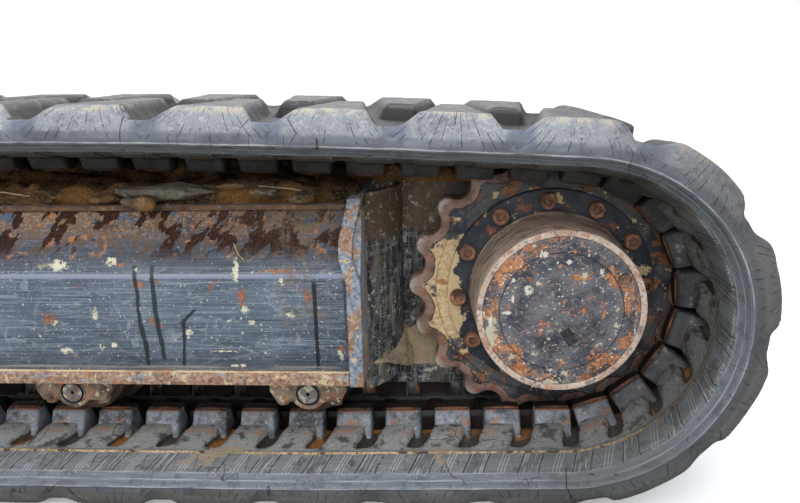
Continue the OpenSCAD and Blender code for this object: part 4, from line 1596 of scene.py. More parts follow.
@dataclass
class RubberTrack:
    """The rubber loop with its tread blocks, bands, ridges, lugs and steel cores."""
    line: PitchLine
    columns: int = 37
    block_lead: float = 62.0
    # reach of a block's face and foot ahead of its middle, then behind it
    block_edge: tuple[float, float, float, float] = (42.0, 80.0, 42.0, 57.0)
    block_tip: tuple[float, float, float, float] = (18.0, 40.0, 18.0, 30.0)
    tip_y: tuple[float, float] = (244.0, 256.0)
    # the edge's flank: spread 0 to 1, Y and height on a block, Y and height between blocks
    flank: tuple[tuple[float, float, float, float, float], ...] = (
        (1.0, 0.8, 45.5, 1.2, 45.5), (1.0, 0.3, 38.0, 2.6, 39.5), (0.7, 2.4, 28.0, 4.0, 32.0),
        (0.45, 8.0, 16.5, 5.6, 25.5), (0.25, 14.5, 8.0, 8.0, 20.9), (0.1, 20.0, 3.2, 13.0, 19.4),
        (0.0, 26.0, 0.9, 22.0, 19.8), (0.0, 34.0, 0.0, 34.0, 22.4))
    hollow: float = 25.0
    floor: float = 72.0
    channel: float = 50.0
    ridge_lean: float = 0.3
    ridge_half: float = 24.5
    lug_lead: float = 29.0
    panel_lead: float = 8.0
    band: tuple[tuple[float, float], ...] = (
        (0, 46.8), (0.5, 48.6), (1.7, 49.3), (2.7, 50.9), (4.0, 51.2), (12, 55.6), (18.6, 59.6),
        (20.4, 61.8), (23, 62.4), (57, 72), (58.4, 69.2), (61.4, 69.2), (62.8, 72.2))
    inside_near: tuple[float, ...] = (66, 72, 76, 80, 86, 94, 103, 112, 118, 124, 131, 140, 148,
                                      153, 158, 174, 198)
    inside_far: tuple[float, ...] = (252, 290, 304, 326, 340, 360, 372, 386)
    tread: tuple[float, ...] = (396, 352, 298, 268, 256, 248, 238, 222, 206, 194, 178, 150, 112, 66)

    def rise(self, ahead: float, y: float, spread: float = 0.0) -> float:
        """Gives how far a tread block has risen, 0 to 1.

        Args:
            ahead: distance ahead of the block's middle.
            y: distance from the block's own edge of the track.
            spread: 0 at the tread's face, 1 at the foot of the flank, where blocks are longer.
        Returns:
            0 between blocks and 1 on one.
        """
        pitch = self.line.pitch
        place = (ahead + pitch) % (2 * pitch) - pitch
        part = min(max((y - 14) / (self.tip_y[0] - 14), 0), 1)
        face_a, foot_a, face_b, foot_b = (
            a + (b - a) * part for a, b in zip(self.block_edge, self.block_tip))
        face, foot = (face_a + 22 * spread, foot_a) if place > 0 else (
            face_b + 22 * spread, foot_b + 18 * spread)
        tip = smooth((self.tip_y[1] - y) / (self.tip_y[1] - self.tip_y[0]))
        return smooth((foot - abs(place)) / (foot - face)) * tip

    def edge(self, s: float, side: Side, row_at: int) -> tuple[float, float]:
        """Gives the place of a row of the flank.

        Args:
            s: the distance along the line.
            side: the edge of the track.
            row_at: the row.
        Returns:
            Y and the height.
        """
        spread, y1, h1, y0, h0 = self.flank[row_at]
        stagger = 0 if side is Side.OUTER else self.line.pitch
        part = self.rise(s - self.block_lead - stagger, 0, spread)
        return side.across(y0 + (y1 - y0) * part), h0 + (h1 - h0) * part

    def outside(self, s: float, y: float) -> float:
        """Gives the height of the tread's surface above its faces.

        Args:
            s: the distance along the line.
            y: the place across.
        Returns:
            The height above the tread's face.
        """
        near = self.rise(s - self.block_lead, y)
        far = self.rise(s - self.block_lead - self.line.pitch, WIDTH - y)
        return self.hollow * (1 - max(near, far))

    def inside(self, s: float, y: float, side: Side) -> float:
        """Gives the height of the running side, with the ridges that lead to the lugs.

        Args:
            s: the distance along the line.
            y: the place across.
            side: the edge whose ridges are read.
        Returns:
            The height above the tread's face.
        """
        deep = side.across(y)
        lead = self.lug_lead if side is Side.OUTER else 0.0
        pitch = self.line.pitch
        lean = self.ridge_lean * max(146 - deep, 0.0)
        off = abs((s - lead + lean + pitch / 2) % pitch - pitch / 2)
        half = self.ridge_half + 5 * smooth((92 - deep) / 18)
        up = smooth((half + 4 - off) / 5)
        top = self.floor + 12 * smooth((deep - 62) / 58) * smooth((150 - deep) / 20)
        crown = 2.0 * (off / half) ** 2 * smooth((deep - 66) / 20) if off < half else 0.0
        low = (self.floor - 9 * smooth((deep - 75) / 5) * smooth((200 - deep) / 20)
               - 9 * smooth((deep - 150) / 5) * smooth((190 - deep) / 12))
        return low + (top - crown - low) * up

    def section(self) -> list[Callable[[float], tuple[float, float]]]:
        """Lists the belt's cross-section.

        Returns:
            For each point, what gives its Y and height by the distance along the line.
        """
        rows = range(len(self.flank))
        far = [(WIDTH - y, h) for y, h in ((59, 72), (20, 61), (0.5, 48))]
        points = [lambda s, at=at: at for at in self.band]
        points += [lambda s, y=y: (y, self.inside(s, y, Side.OUTER)) for y in self.inside_near]
        points += [lambda s, y=y: (y, self.channel) for y in (MID - 25, MID, MID + 25)]
        points += [lambda s, y=y: (y, self.inside(s, y, Side.INNER)) for y in self.inside_far]
        points += [lambda s, at=at: at for at in far]
        points += [lambda s, i=i: self.edge(s, Side.INNER, i)
                   for i in rows if i % 2 == 0 or i == rows[-1]]
        points += [lambda s, y=y: (y, self.outside(s, y)) for y in self.tread]
        return points + [lambda s, i=i: self.edge(s, Side.OUTER, i) for i in reversed(rows)]

    def belt(self) -> Piece:
        """Models two links flat, repeats them round the loop and wraps them on the line.

        Returns:
            The loop.
        """
        section = self.section()
        count = len(section)
        piece = Bench.grid("rubber_loop", self.columns, count)
        length = 2 * self.line.pitch
        for vertex in piece.data.vertices:
            s = (vertex.co.x + 0.5) * length
            y, height = section[round((vertex.co.y + 0.5) * count) % count](s)
            vertex.co = Vector((s, y, height)) * MM
        Bench.apply(piece, "ARRAY", count=self.line.links // 2, use_relative_offset=False,
                    use_constant_offset=True, constant_offset_displace=(length * MM, 0, 0),
                    use_merge_vertices=True, merge_threshold=0.00002)
        self.line.chart(piece)
        for vertex in piece.data.vertices:
            s, y, lift = vertex.co / MM
            spot = self.line.point(s, y, lift)
            rough = noise.noise(spot * 22) + 0.5 * noise.noise(spot * 90)
            worn = lift + rough * (1.3 if lift < 30 else 0.6)
            vertex.co = self.line.point(s, y, max(worn, 0.3))
        return Bench.shade(Bench.tidy(piece, 0.00002), 50)

    def lug(self) -> Piece:
        """Models one rubber lug flat: a block with a sloping outer face and round corners.

        Returns:
            The lug.
        """
        piece = Bench.block("lug", (-30, 116, 58), (30, 180, 103.5))
        for vertex in piece.data.vertices:
            x, y, z = vertex.co / MM
            if z > 100:
                vertex.co = Vector((x * 0.95, 137 if y < 140 else 160, z)) * MM
        Bench.bevel(piece, 5.5, 3)
        return Bench.shade(piece, 60)

    def horn(self) -> Piece:
        """Models one steel horn flat, with a worn crowned top and a slope behind it.

        Returns:
            The horn.
        """
        piece = Bench.block("horn", (-27.5, 142, 62), (27.5, 192, 105.8))
        for vertex in piece.data.vertices:
            if vertex.co.z > 0.1 and vertex.co.y > 0.17:
                vertex.co.y = 0.1655
        with Bench.editing(piece):
            bpy.ops.mesh.subdivide(number_cuts=3)
        for vertex in piece.data.vertices:
            if vertex.co.z > 0.1:
                worn = (vertex.co.x / 0.0275) ** 2 + ((vertex.co.y - 0.154) / 0.0125) ** 4
                vertex.co.z -= 0.0018 * worn
        Bench.bevel(piece, 1.4)
        return Bench.shade(piece, 50)

    def bar(self) -> Piece:
        """Models one drive bar flat, rounded where the sprocket's gaps push it.

        Returns:
            The bar.
        """
        piece = Bench.block("bar", (-12, MID - 24.7, 50.3), (12, MID + 24.7, 71))
        Bench.bevel(piece, 5, 3)
        return Bench.shade(piece, 50)

    def panel(self) -> Piece:
        """Models one raised panel of the inner band flat.

        Returns:
            The panel.
        """
        piece = Bench.block("panel", (-27, 24.5, 0), (27, 55, 2.4))
        for vertex in piece.data.vertices:
            vertex.co.z += (61.2 + (vertex.co.y / MM - 20) * 0.292 - 0.6) * MM
        Bench.pick(piece, lambda middle, normal: normal.z > 0.8)
        bpy.ops.mesh.inset(thickness=0.0016, depth=0.0006)
        Bench.close()
        return Bench.shade(piece, 25)

    def build(self) -> None:
        """Makes the pieces and dresses them."""
        stops = [i * self.line.pitch for i in range(self.line.links)]
        sides = ((Side.OUTER, self.lug_lead), (Side.INNER, 0.0))
        rubber = TrackRubber(self.line.pitch, self.block_lead, self.panel_lead).make()
        settle(self.belt(), "track_rubber", rubber, "rubber_track")
        lug, horn, panel, bar = self.lug(), self.horn(), self.panel(), self.bar()
        lugs = [self.line.carried(lug, [s + lead for s in stops], side, "lugs") for side, lead in sides]
        settle(Bench.join(lugs, "rubber_lugs"), "track_rubber", LugRubber().make())
        steel = [self.line.carried(horn, [s + lead for s in stops], side, "horns")
                 for side, lead in sides]
        steel.append(self.line.carried(bar, stops, Side.OUTER, "bars"))
        rust = RustyIron("core_rust", (60, 44, 38), (120, 86, 70), (172, 106, 74), shadow=True)
        settle(Bench.join(steel, "steel_cores"), "core_steel", rust.make(), "track_cores")
        panels = [self.line.carried(panel, [s + self.panel_lead for s in stops], side, "panels")
                  for side in Side]
        settle(Bench.join(panels, "band_panels"), "track_rubber", rubber)
        for model in (lug, horn, panel, bar):
            bpy.data.objects.remove(model)


@dataclass
class Sprocket:
    """The toothed wheel bolted to the drive."""
    line: PitchLine
    tooth_at: float = 213.5
    tooth_r: float = 17.5
    gap_at: float = 229.0
    half: float = 19.5
    bore: float = 112.0
    web: float = 186.0
    back_web: float = 180.0
    recess: float = 3.0
    back_recess: float = 8.0
    arc: int = 11

    def outline(self) -> list[tuple[Vector, Vector]]:
        """Draws the teeth's outline about the axis.

        Returns:
            Its points, each with the direction outwards.
        """
        step = tau / self.line.teeth
        gap = Vector((self.gap_at * cos(step / 2), self.gap_at * sin(step / 2)))
        way = gap - Vector((self.tooth_at, 0))
        gap_r = way.length - self.tooth_r
        swing = atan2(way.y, way.x)
        made = []
        for i in range(self.line.teeth):
            turn = Matrix.Rotation(-radians(self.line.tooth_phase) - i * step, 2)
            worn = 2.2 * noise.noise(Vector((i * 1.7, 3.1, 0.4))) - 1.0
            for k in range(self.arc):
                angle = -swing + 2 * swing * k / (self.arc - 1)
                away = Vector((cos(angle), sin(angle)))
                reach = self.tooth_r + worn * max(away.x, 0)
                point = Vector((self.tooth_at, 0)) + reach * away
                made.append((point @ turn, away @ turn))
            for k in range(1, self.arc - 1):
                angle = swing - 2 * (swing - step / 2) * k / (self.arc - 1)
                away = Vector((cos(angle), sin(angle)))
                made.append(((gap - gap_r * away) @ turn, away @ turn))
        return made

    def stations(self) -> list[tuple[float, float]]:
        """Lists the wheel's section.

        Returns:
            For each point an inset from the teeth, or minus a radius, and Y.
        """
        edge = [(0.0, self.half - 4.5), (1.3, self.half - 1.3), (4.2, self.half), (14.0, self.half)]
        front = [(-self.web, -self.half), (1.5 - self.web, self.recess - self.half),
                 (-self.bore, self.recess - self.half)]
        back = [(-self.bore, self.half - self.back_recess),
                (1.5 - self.back_web, self.half - self.back_recess), (-self.back_web, self.half)]
        return [(inset, -y) for inset, y in edge] + front + back + edge[::-1]

    def build(self) -> None:
        """Makes the wheel as a ring of its stations and dresses it."""
        edge, section = self.outline(), self.stations()
        around, count = len(edge), len(section)
        piece = Bench.grid("sprocket_wheel", around, count)
        for vertex in piece.data.vertices:
            point, away = edge[round((vertex.co.x + 0.5) * around) % around]
            inset, y = section[round((vertex.co.y + 0.5) * count) % count]
            flat = point - away * inset if inset >= 0 else point.normalized() * -inset
            vertex.co = row(flat.x, MID + y, flat.y + SPROCKET_Z)
        finish = SprocketSteel(self.line.teeth, self.line.tooth_phase, self.gap_at)
        settle(Bench.shade(Bench.tidy(piece, 0.00002), 35), "sprocket_steel", finish.make(), "sprocket")


@dataclass
class FinalDrive:
    """Gear housing with its flange, lid, plugs and flange bolts."""
    paint: HubPaint = HubPaint()
    bolt_ring: float = 149.6
    bolt_phase: float = 3.8
    bolts: int = 12
    plug_ring: float = 102.0
    # the lid's bosses: the angle, and whether a plug shows in it
    bosses: tuple[tuple[float, bool], ...] = ((31.0, True), (-62.0, True), (-147.0, False))

    def about(self, angle: float, radius: float) -> Matrix:
        """Gives the matrix from the axis to a place round it, with Y kept.

        Args:
            angle: the place's angle in degrees.
            radius: its distance from the axis in mm.
        Returns:
            The matrix.
        """
        turn = radians(angle)
        x, z = radius * cos(turn), SPROCKET_Z + radius * sin(turn)
        return Matrix.Translation(row(x, 0, z))

    def drum(self) -> Piece:
        """Spins the housing with its rounded rim, lid seat and flange.

        Returns:
            The housing.
        """
        outline = [
            (0, 98), (106, 98), (115.7, 90.4), (115.7, 88.2), (116.4, 86.9), (118.4, 86.8),
            (123.2, 86.8), (125.0, 87.5), (125.7, 89.4), (126.2, 100), (127.6, 150), (128.7, 184),
            (130.2, 189.6), (134.7, 194.2), (138, 195.2), (164.4, 195.2), (166, 195.9),
            (166.4, 197.4), (166.4, 208.2), (111.5, 208.2), (111.5, 250), (0, 250)]
        return Bench.lathe("drive_drum", outline, 0, SPROCKET_Z, 128)

    def lid(self) -> Piece:
        """Spins the lid with its raised middle, and adds the bosses and a blank plate.

        Returns:
            The lid.
        """
        outline = [
            (0, 85.8), (88.6, 85.8), (90.2, 86.2), (91.4, 87.4), (92.4, 87.9), (113.6, 87.9),
            (115, 88.4), (115.4, 89.6), (115.4, 90.6), (107.6, 97.4), (0, 97.4)]
        parts = [Bench.lathe("lid", outline, 0, SPROCKET_Z, 128)]
        for angle, _ in self.bosses:
            turn = radians(angle)
            parts.append(Bench.lathe("boss", [
                (0, 87), (7.6, 87), (8.6, 85.8), (11.2, 85.8), (12.6, 86.6), (13.2, 88.6),
                (13.2, 90), (0, 90)], self.plug_ring * cos(turn),
                SPROCKET_Z + self.plug_ring * sin(turn), 32))
        plate = Bench.block("plate", (-16.5, 85.2, -6.2), (16.5, 88, 6.2))
        Bench.pick(plate, lambda middle, normal: normal.y < -0.9)
        bpy.ops.mesh.inset(thickness=0.0012, depth=-0.0004)
        Bench.close()
        Bench.bevel(plate, 0.35, 1)
        tag = row(self.paint.tag_x, 0, SPROCKET_Z + self.paint.tag_z)
        plate.data.transform(Matrix.Translation(tag)
                             @ Matrix.Rotation(radians(self.paint.tag_turn), 4, "Y"))
        return Bench.shade(Bench.join([*parts, plate], "drive_lid"), 35)

    def cap(self, radius: float, height: float, socket: float, front: float, name: str) -> Piece:
        """Models one socket-head screw about the Y axis.

        Args:
            radius: the head's radius.
            height: the head's height.
            socket: the socket's radius.
            front: the place of the head's face along Y.
            name: the screw's name.
        Returns:
            The screw.
        """
        piece = Bench.rod(name, radius, (0, front + height, 0), (0, front, 0), 24)
        Bench.pick(piece, lambda middle, normal: middle.y < (front + height / 4) * MM
                   and abs(normal.y) > 0.9)
        bpy.ops.mesh.inset(thickness=radius * 0.16 * MM, depth=radius * 0.1 * MM)
        bpy.ops.mesh.inset(thickness=(radius * 0.84 - socket) * MM, depth=0)
        bpy.ops.mesh.extrude_region_move(TRANSFORM_OT_translate={"value": (0, height * 0.55 * MM, 0)})
        Bench.close()
        Bench.bevel(piece, 0.7, 1, 50)
        return Bench.shade(piece)

    def build(self) -> None:
        """Makes the drive's pieces and dresses them."""
        hub = self.paint.make()
        settle(Bench.shade(self.drum(), 35), "drive_paint", hub, "drive_housing")
        settle(self.lid(), "cover_paint", hub, "drive_cover")
        screw = self.cap(13.2, 12.5, 6.6, 183.5, "screw")
        places = [self.about(self.bolt_phase + i * 360 / self.bolts, self.bolt_ring)
                  for i in range(self.bolts)]
        rust = RustyIron("bolt_rust", (80, 56, 46), (148, 108, 88), (190, 136, 106), 2.0)
        settle(Bench.copies(screw, places, "flange_screws"), "plug_steel", rust.make())
        places = [self.about(angle, self.plug_ring) for angle, filled in self.bosses if filled]
        plugs = Bench.copies(self.cap(8.0, 4.6, 3.4, 81.7, "plug"), places, "lid_plugs")
        steel = RustyIron("plug_metal", (84, 62, 50), (158, 132, 114), (190, 120, 84), 2.4)
        settle(plugs, "plug_steel", steel.make(), "drive_plugs")


@dataclass
class TrackFrame:
    """Box frame of folded plates with its flanges, end plates, forks, legs and welds."""
    end_x: float = -294.0
    # the painted nodes, with the width of their rounding
    plain: tuple[tuple[str, float], ...] = (
        ("inner_side_plate", 2.5), ("front_plate", 1.5), ("outer_fork", 2.0),
        ("inner_fork", 2.0), ("idler_yoke", 2.0), ("carrier_ears", 1.5), ("rear_leg", 3.0),
        ("front_leg", 3.0), ("rear_leg_flange", 2.0), ("front_leg_flange", 2.0),
        ("mount_plate", 1.5), ("neck_plate", 1.0), ("neck_floor", 1.5), ("inner_flange", 2.0),
        ("grease_cover", 1.2))

    def build(self) -> None:
        """Rounds the plates' edges and gives them their paint."""
        paint = WornPaint("frame_paint").make()
        dusty = NeckPaint("neck_paint", (26, 28, 34), (62, 64, 68), 0.2, 0.3, 0.8,
                          (150.0, 150.0, 9.0)).make()
        for node, width in self.plain:
            finish = dusty if node.startswith(("mount", "neck")) else paint
            recoat(node, "frame_paint", finish, width)
        side = SidePlatePaint("side_plate_paint", (72, 81, 96), (106, 117, 132),
                              scratch=0.95, rust=0.3, chips=0.2)
        recoat("outer_side_plate", "frame_paint", side.make(), 3.0, "outer_skin", 20)
        edge = RustedEdge("flange_rust", (126, 116, 114), 0.2, (16, 64, 96), 210.0)
        recoat("outer_flange", "frame_rust", edge.make(), 1.6, "outer_shelf")
        end = RustedEdge("end_plate_rust", (104, 116, 136), 0.72)
        recoat("end_plate", "frame_rust", end.make(), 2.2, "end_web")
        top = RustyIron("top_rust", (58, 42, 32), (112, 88, 70), (140, 100, 72))
        recoat("top_plate", "frame_rust", top.make(), 1.5, "top_skin")
        self.welds()

    def bead(self, name: str, start: Vector, end: Vector, radius: float) -> Piece:
        """Models a rippled weld bead.

        Args:
            name: its name.
            start: one end in the row frame.
            end: the other end.
            radius: its radius in mm.
        Returns:
            The bead.
        """
        length = (end - start).length
        rings = max(int(length / (radius * 0.9 * MM)), 4)
        piece = Bench.grid(name, 8, rings)
        turn = (end - start).to_track_quat("Z", "Y").to_matrix().to_4x4()
        for vertex in piece.data.vertices:
            along = vertex.co.y + 0.5
            angle = (vertex.co.x + 0.5) * tau
            swell = 0.82 + 0.18 * abs(sin(along * rings * pi / 2))
            swell += 0.12 * noise.noise(Vector((along * rings * 0.7, radius, start.x * 9)))
            reach = radius * MM * swell * (0.3 if along in (0.0, 1.0) else 1.0)
            vertex.co = Vector((reach * cos(angle), reach * sin(angle), along * length))
        piece.data.transform(Matrix.Translation(start) @ turn)
        return Bench.tube(piece)

    def welds(self) -> None:
        """Lays the beads where the plates meet."""
        left, right = -1980.0, self.end_x - 22
        lines = [
            ((left, 67, 210), (right, 67, 210), 4.0), ((right, 66, 210), (right, 66, 356), 4.0),
            ((right, 66, 360), (right, 110, 446), 4.0), ((left, 110, 455), (right, 110, 455), 3.5),
            ((left, 383, 210), (right, 383, 210), 4.0)]
        for x in (-640, -1500):
            near, far = x - 85, x + 85
            for a, b in ((near, near), (far, far), (near, far)):
                lines += [((a, y, 352 if a < b else 228), (b, y, 352), 5.0) for y in (384, 599.5)]
        beads = [self.bead("bead", row(*a), row(*b), r) for a, b, r in lines]
        finish = WornPaint("weld_paint", (58, 62, 70), (104, 100, 98), 0.3, 0.8, 0.4)
        settle(Bench.join(beads, "weld_beads"), "frame_paint", finish.make())


@dataclass
class RunningGear:
    """Idler, rollers, shafts and brackets."""
    line: PitchLine
    roller_z: float = 163.3
    gap: float = 376.0

    def build(self) -> None:
        """Rounds the wheels' edges, and adds the brackets' screws and pins."""
        iron = RustyIron("wheel_iron", (44, 40, 38), (86, 72, 62), (128, 84, 58)).make()
        steel = Plain("axle_steel", (92, 84, 78), (150, 140, 130), 120, 0.35, 0.6).make()
        bracket = RustyIron("bracket_iron", (78, 62, 54), (150, 128, 112),
                            (176, 108, 70), 1.6, 0.35, 0.9).make()
        for node, slot, finish, width in (
                ("idler", "wheel_iron", iron, 2.0), ("bottom_rollers", "wheel_iron", iron, 1.8),
                ("carrier_roller", "wheel_iron", iron, 1.5),
                ("idler_blocks", "wheel_iron", iron, 1.5),
                ("idler_shaft", "shaft_steel", steel, 1.5),
                ("carrier_shaft", "shaft_steel", steel, 1.0),
                ("roller_brackets", "bracket_iron", bracket, 3.0)):
            recoat(node, slot, finish, width)
        self.pins(PinSteel(self.line.first + SHIFT.x, self.gap, self.roller_z).make())
        self.screws(bracket)

    def spots(self) -> list[float]:
        """Lists the rollers' places along X."""
        return [self.line.first - i * self.gap for i in range(5)]

    def pins(self, steel: Material) -> None:
        """Makes the roller pins with a ring groove and a centre hole at each end.

        Args:
            steel: their material.
        """
        end = 79.5
        outline = [(0, end + 4.5), (2.4, end + 4.0), (3.0, end + 0.6), (15.6, end),
                   (16.2, end + 1.8), (17.4, end + 1.8), (18, end + 0.2), (19.4, end + 0.4),
                   (20, end + 1.4), (20, MID)]
        outline += [(r, WIDTH - y) for r, y in reversed(outline[:-1])]
        pins = [Bench.lathe("pin", outline, x, self.roller_z, 40) for x in self.spots()]
        settle(Bench.shade(Bench.join(pins, "roller_pins"), 35), "shaft_steel", steel, "roller_shafts")

    def screws(self, finish: Material) -> None:
        """Adds the hexagon heads under each bracket's ears.

        Args:
            finish: their material.
        """
        head = Bench.rod("head", 10.5, (0, 95.5, self.roller_z - 22), (0, 95.5, self.roller_z - 13), 6)
        Bench.bevel(head, 1.2, 2)
        places = [Matrix.Translation(row(x + side * 42, 0, 0) + Vector((0, y * MM, 0)))
                  for x in self.spots() for side in (-1, 1) for y in (0, WIDTH - 191)]
        whole = Bench.copies(head, places, "bracket_screws")
        settle(Bench.shade(whole, 35), "bracket_iron", finish)


@dataclass
class TravelMotor:
    """Motor and port block on the inboard side."""
    screws: int = 12

    def build(self) -> None:
        """Rounds the castings' edges and adds the mounting screws."""
        paint = WornPaint("motor_paint", (46, 48, 54), (78, 80, 84), 0.2, 0.3, 0.3,
                          (40.0, 40.0, 40.0)).make()
        for node in ("travel_motor", "port_block"):
            recoat(node, "motor_paint", paint, 2.0)
        drive = FinalDrive()
        screw = drive.cap(9.5, 10, 4.8, 0, "screw")
        flip = Matrix.Translation((0, (284 + 16.3 + 9.6) * MM, 0)) @ Matrix.Diagonal((1, -1, 1, 1))
        places = [drive.about(15 + i * 360 / self.screws, 138) @ flip for i in range(self.screws)]
        rust = Plain("screw_steel", (60, 54, 50), (110, 98, 88), 120, 0.4, 0.5).make()
        settle(Bench.copies(screw, places, "motor_screws"), "plug_steel", rust)


@dataclass
class Dirt:
    """Soil, clods, leaves and straw that lie on the frame."""
    line: PitchLine
    seed: int = 7
    clods: int = 54
    frame_top: float = 457.0
    plate_top: float = 466.0

    def heap(self, name: str, x: tuple[float, float], y: tuple[float, float], base: float,
             height: Callable[[float, float], float], step: float,
             backed: bool = False) -> Piece:
        """Models a heap on a flat base.

        Args:
            name: the piece's name.
            x: its ends along X.
            y: its ends across.
            base: the height that it lies on.
            height: how high it stands at each place, by X and Y.
            step: the grid's step in mm.
            backed: it leans on a plate behind it.
        Returns:
            A closed mesh.
        """
        piece = Bench.grid(name, int((x[1] - x[0]) / step), int((y[1] - y[0]) / step))
        for vertex in piece.data.vertices:
            px = x[0] + (vertex.co.x + 0.5) * (x[1] - x[0])
            py = y[0] + (vertex.co.y + 0.5) * (y[1] - y[0])
            spot = Vector((px, py, self.seed)) * 0.02
            lump = noise.turbulence(spot, 4, False, noise_basis="PERLIN_ORIGINAL")
            rim = min((px - x[0]) / 10, (x[1] - px) / 4, (py - y[0]) / (3 if backed else 20),
                      1.0 if backed else (y[1] - py) / 8)
            tall = max(height(px, py) * min(0.84 + lump * 0.7, 1.04), 0.6) * smooth(rim) + 0.4
            vertex.co = row(px, py, base + tall)
        with Bench.editing(piece):
            bpy.ops.mesh.extrude_region_move(TRANSFORM_OT_translate={"value": (0, 0, 0)})
        for vertex in piece.data.vertices:
            if vertex.select:
                vertex.co.z = (base - 0.5) * MM
        return Bench.shade(Bench.tidy(piece), 60)

    def clod(self, name: str, x: float, y: float, z: float, size: tuple[float, float, float],
             turn: float) -> Piece:
        """Models one clod: a small ball, broken up and flattened.

        Args:
            name: its name.
            x: the place of its middle, in mm.
            y: the same, across.
            z: the same, upwards.
            size: its half sizes in mm.
            turn: how it is turned about Z, in radians.
        Returns:
            The clod.
        """
        piece = Bench.add("ico_sphere", name, subdivisions=2, radius=1)
        for vertex in piece.data.vertices:
            dent = 1 + 0.45 * noise.noise(vertex.co * 1.7 + Vector((x, y, z)) * 0.13)
            vertex.co = Vector([c * dent * s * MM for c, s in zip(vertex.co, size)])
        piece.data.transform(Matrix.Translation(row(x, y, z)) @ Matrix.Rotation(turn, 4, "Z"))
        return Bench.shade(piece, 30)

    def drift(self) -> Piece:
        """Models the soil that is piled against the curved neck and the mount plate.

        Returns:
            The soil.
        """
        section = [(0, 0), (1, 0), (1.05, 0.14), (0.97, 0.3), (0.84, 0.44), (0.7, 0.57),
                   (0.53, 0.7), (0.35, 0.83), (0.17, 0.94), (0, 1)]
        count = len(section)
        piece = Bench.grid("neck_soil", 90, count)
        for vertex in piece.data.vertices:
            part = vertex.co.x + 0.5
            out, up = section[round((vertex.co.y + 0.5) * count) % count]
            if part < 0.4:
                turn = radians(-47 + 47 * part / 0.4)
                way = Vector((cos(turn), sin(turn), 0))
                foot = Vector((-392, 262, 0)) + way * 150
                depth = 4 + 14 * part / 0.4
            else:
                way = Vector((0, -1, 0))
                foot = Vector((-242 + 165 * (part - 0.4) / 0.6, 262, 0))
                depth = 12.0
            low = 43 * (1 - smooth(part / 0.4))
            tall = 4 + 66 * smooth(part / 0.46) - 10 * smooth((part - 0.5) / 0.1)
            rough = noise.noise(Vector((part * 26, up * 5, 1.7)))
            end = smooth(min(part, 1 - part) * 30)
            place = foot + way * (0.4 + out * depth * (0.9 + 0.35 * rough) * end)
            vertex.co = row(place.x, place.y, 140.6 + low + up * tall * (1 + 0.12 * rough) * end)
        return Bench.tube(piece)

    def packed_soil_in_shade(self) -> Piece:
        """Models a dark strip along the far lugs under the top run: packed soil, with painted shade
        that fills the gaps there.

        Returns:
            The mud.
        """
        piece = Bench.grid("packed_soil_shade_strip", 300, 10)
        for vertex in piece.data.vertices:
            s = 330 + (vertex.co.x + 0.5) * 2170
            turn = (vertex.co.y + 0.5) * tau
            lump = noise.turbulence(Vector((s * 0.03, cos(turn), sin(turn))), 3, False)
            end = smooth((0.5 - abs(vertex.co.x)) * 40)
            deep = (52 + 6 * lump) * sqrt(max(sin(turn), 0.0))
            vertex.co = self.line.point(s, 364 + 15 * cos(turn), 72.4 + deep * end)
        return Bench.tube(piece)

    def on_top(self, x: float, y: float) -> float:
        """Gives the height of the soil on the frame's top.

        Args:
            x: the place along X, in mm.
            y: the place across.
        Returns:
            The height in mm.
        """
        wave = 0.75 + 0.25 * sin(x * 0.013) * cos(x * 0.031)
        far = smooth((y - 262) / 30)
        arch = 48 - 19 * ((x + 990) / 700) ** 2
        return ((33 * wave * (1 - far) + max(arch, 22) * far) * smooth((y - 112) / 40)
                * (0.3 if abs(x + 1120) < 120 and y < 290 else 1.0))

    def build(self) -> None:
        """Lays the dirt and dresses it."""
        earth = Soil().make()
        top = self.heap("top_soil", (-1960, -297), (116, 338), self.frame_top, self.on_top, 8)
        settle(top, "frame_rust", earth)
        grey = Soil("neck_soil", (134, 118, 99), (190, 172, 148), (196, 170, 124))
        settle(self.drift(), "frame_paint", grey.make())
        back = self.heap("plate_soil", (-293, -64), (262.5, 283.5), self.plate_top,
                         lambda x, y: 24 + 12 * smooth((-200 - x) / 60), 3, True)
        settle(back, "frame_paint", earth)
        # dark soil for the strip: packed soil, with painted shade under the top run
        soil_shade_finish = Soil("packed_soil_and_shade", (34, 27, 20), (70, 54, 38), (84, 60, 34))
        settle(self.packed_soil_in_shade(), "track_rubber", soil_shade_finish.make())
        clods = []
        for i in range(self.clods):
            pick = [noise.cell(Vector((i * 3.7 + k * 11.3, 2.2, self.seed))) for k in range(6)]
            x = -1900 + 1560 * ((i + pick[0]) / self.clods)
            size = 7 + 13 * pick[2]
            if abs(x + 1120) >= 90:
                clods.append(self.clod("clod", x, 126 + 60 * pick[1], 470 + 9 * pick[3],
                                       (size * 1.6, size, size * 0.55), pick[4] * 3))
        slab = Soil("stone_face", (92, 88, 80), (150, 142, 128), (126, 112, 90))
        stone = self.clod("stone", -592, 127, 474, (72, 22, 12), 0.04)
        settle(stone, "frame_rust", slab.make())
        clods.append(self.clod("clod", -470, 150, 480, (42, 22, 9), 0.2))
        dry = Soil("clod_soil", (70, 58, 44), (124, 106, 82))
        settle(Bench.join(clods, "clods"), "frame_rust", dry.make())
        stalks = (((-482, 84.8, 404), (-474, 78.6, 388), (-466, 75.4, 381), 0.9),
                  ((-450, 128, 482), (-400, 124, 478), (-360, 121, 470), 1.1),
                  ((-905, 126, 478), (-840, 122, 476), (-800, 119, 470), 1.1))
        straws = [Bench.rod("stalk", radius, Vector(a) + SHIFT, Vector(b) + SHIFT, 6)
                  for *points, radius in stalks for a, b in zip(points, points[1:])]
        pale = Plain("straw", (150, 128, 92), (196, 178, 140), 200, 0.7)
        settle(Bench.join(straws, "stalks"), "frame_rust", pale.make())


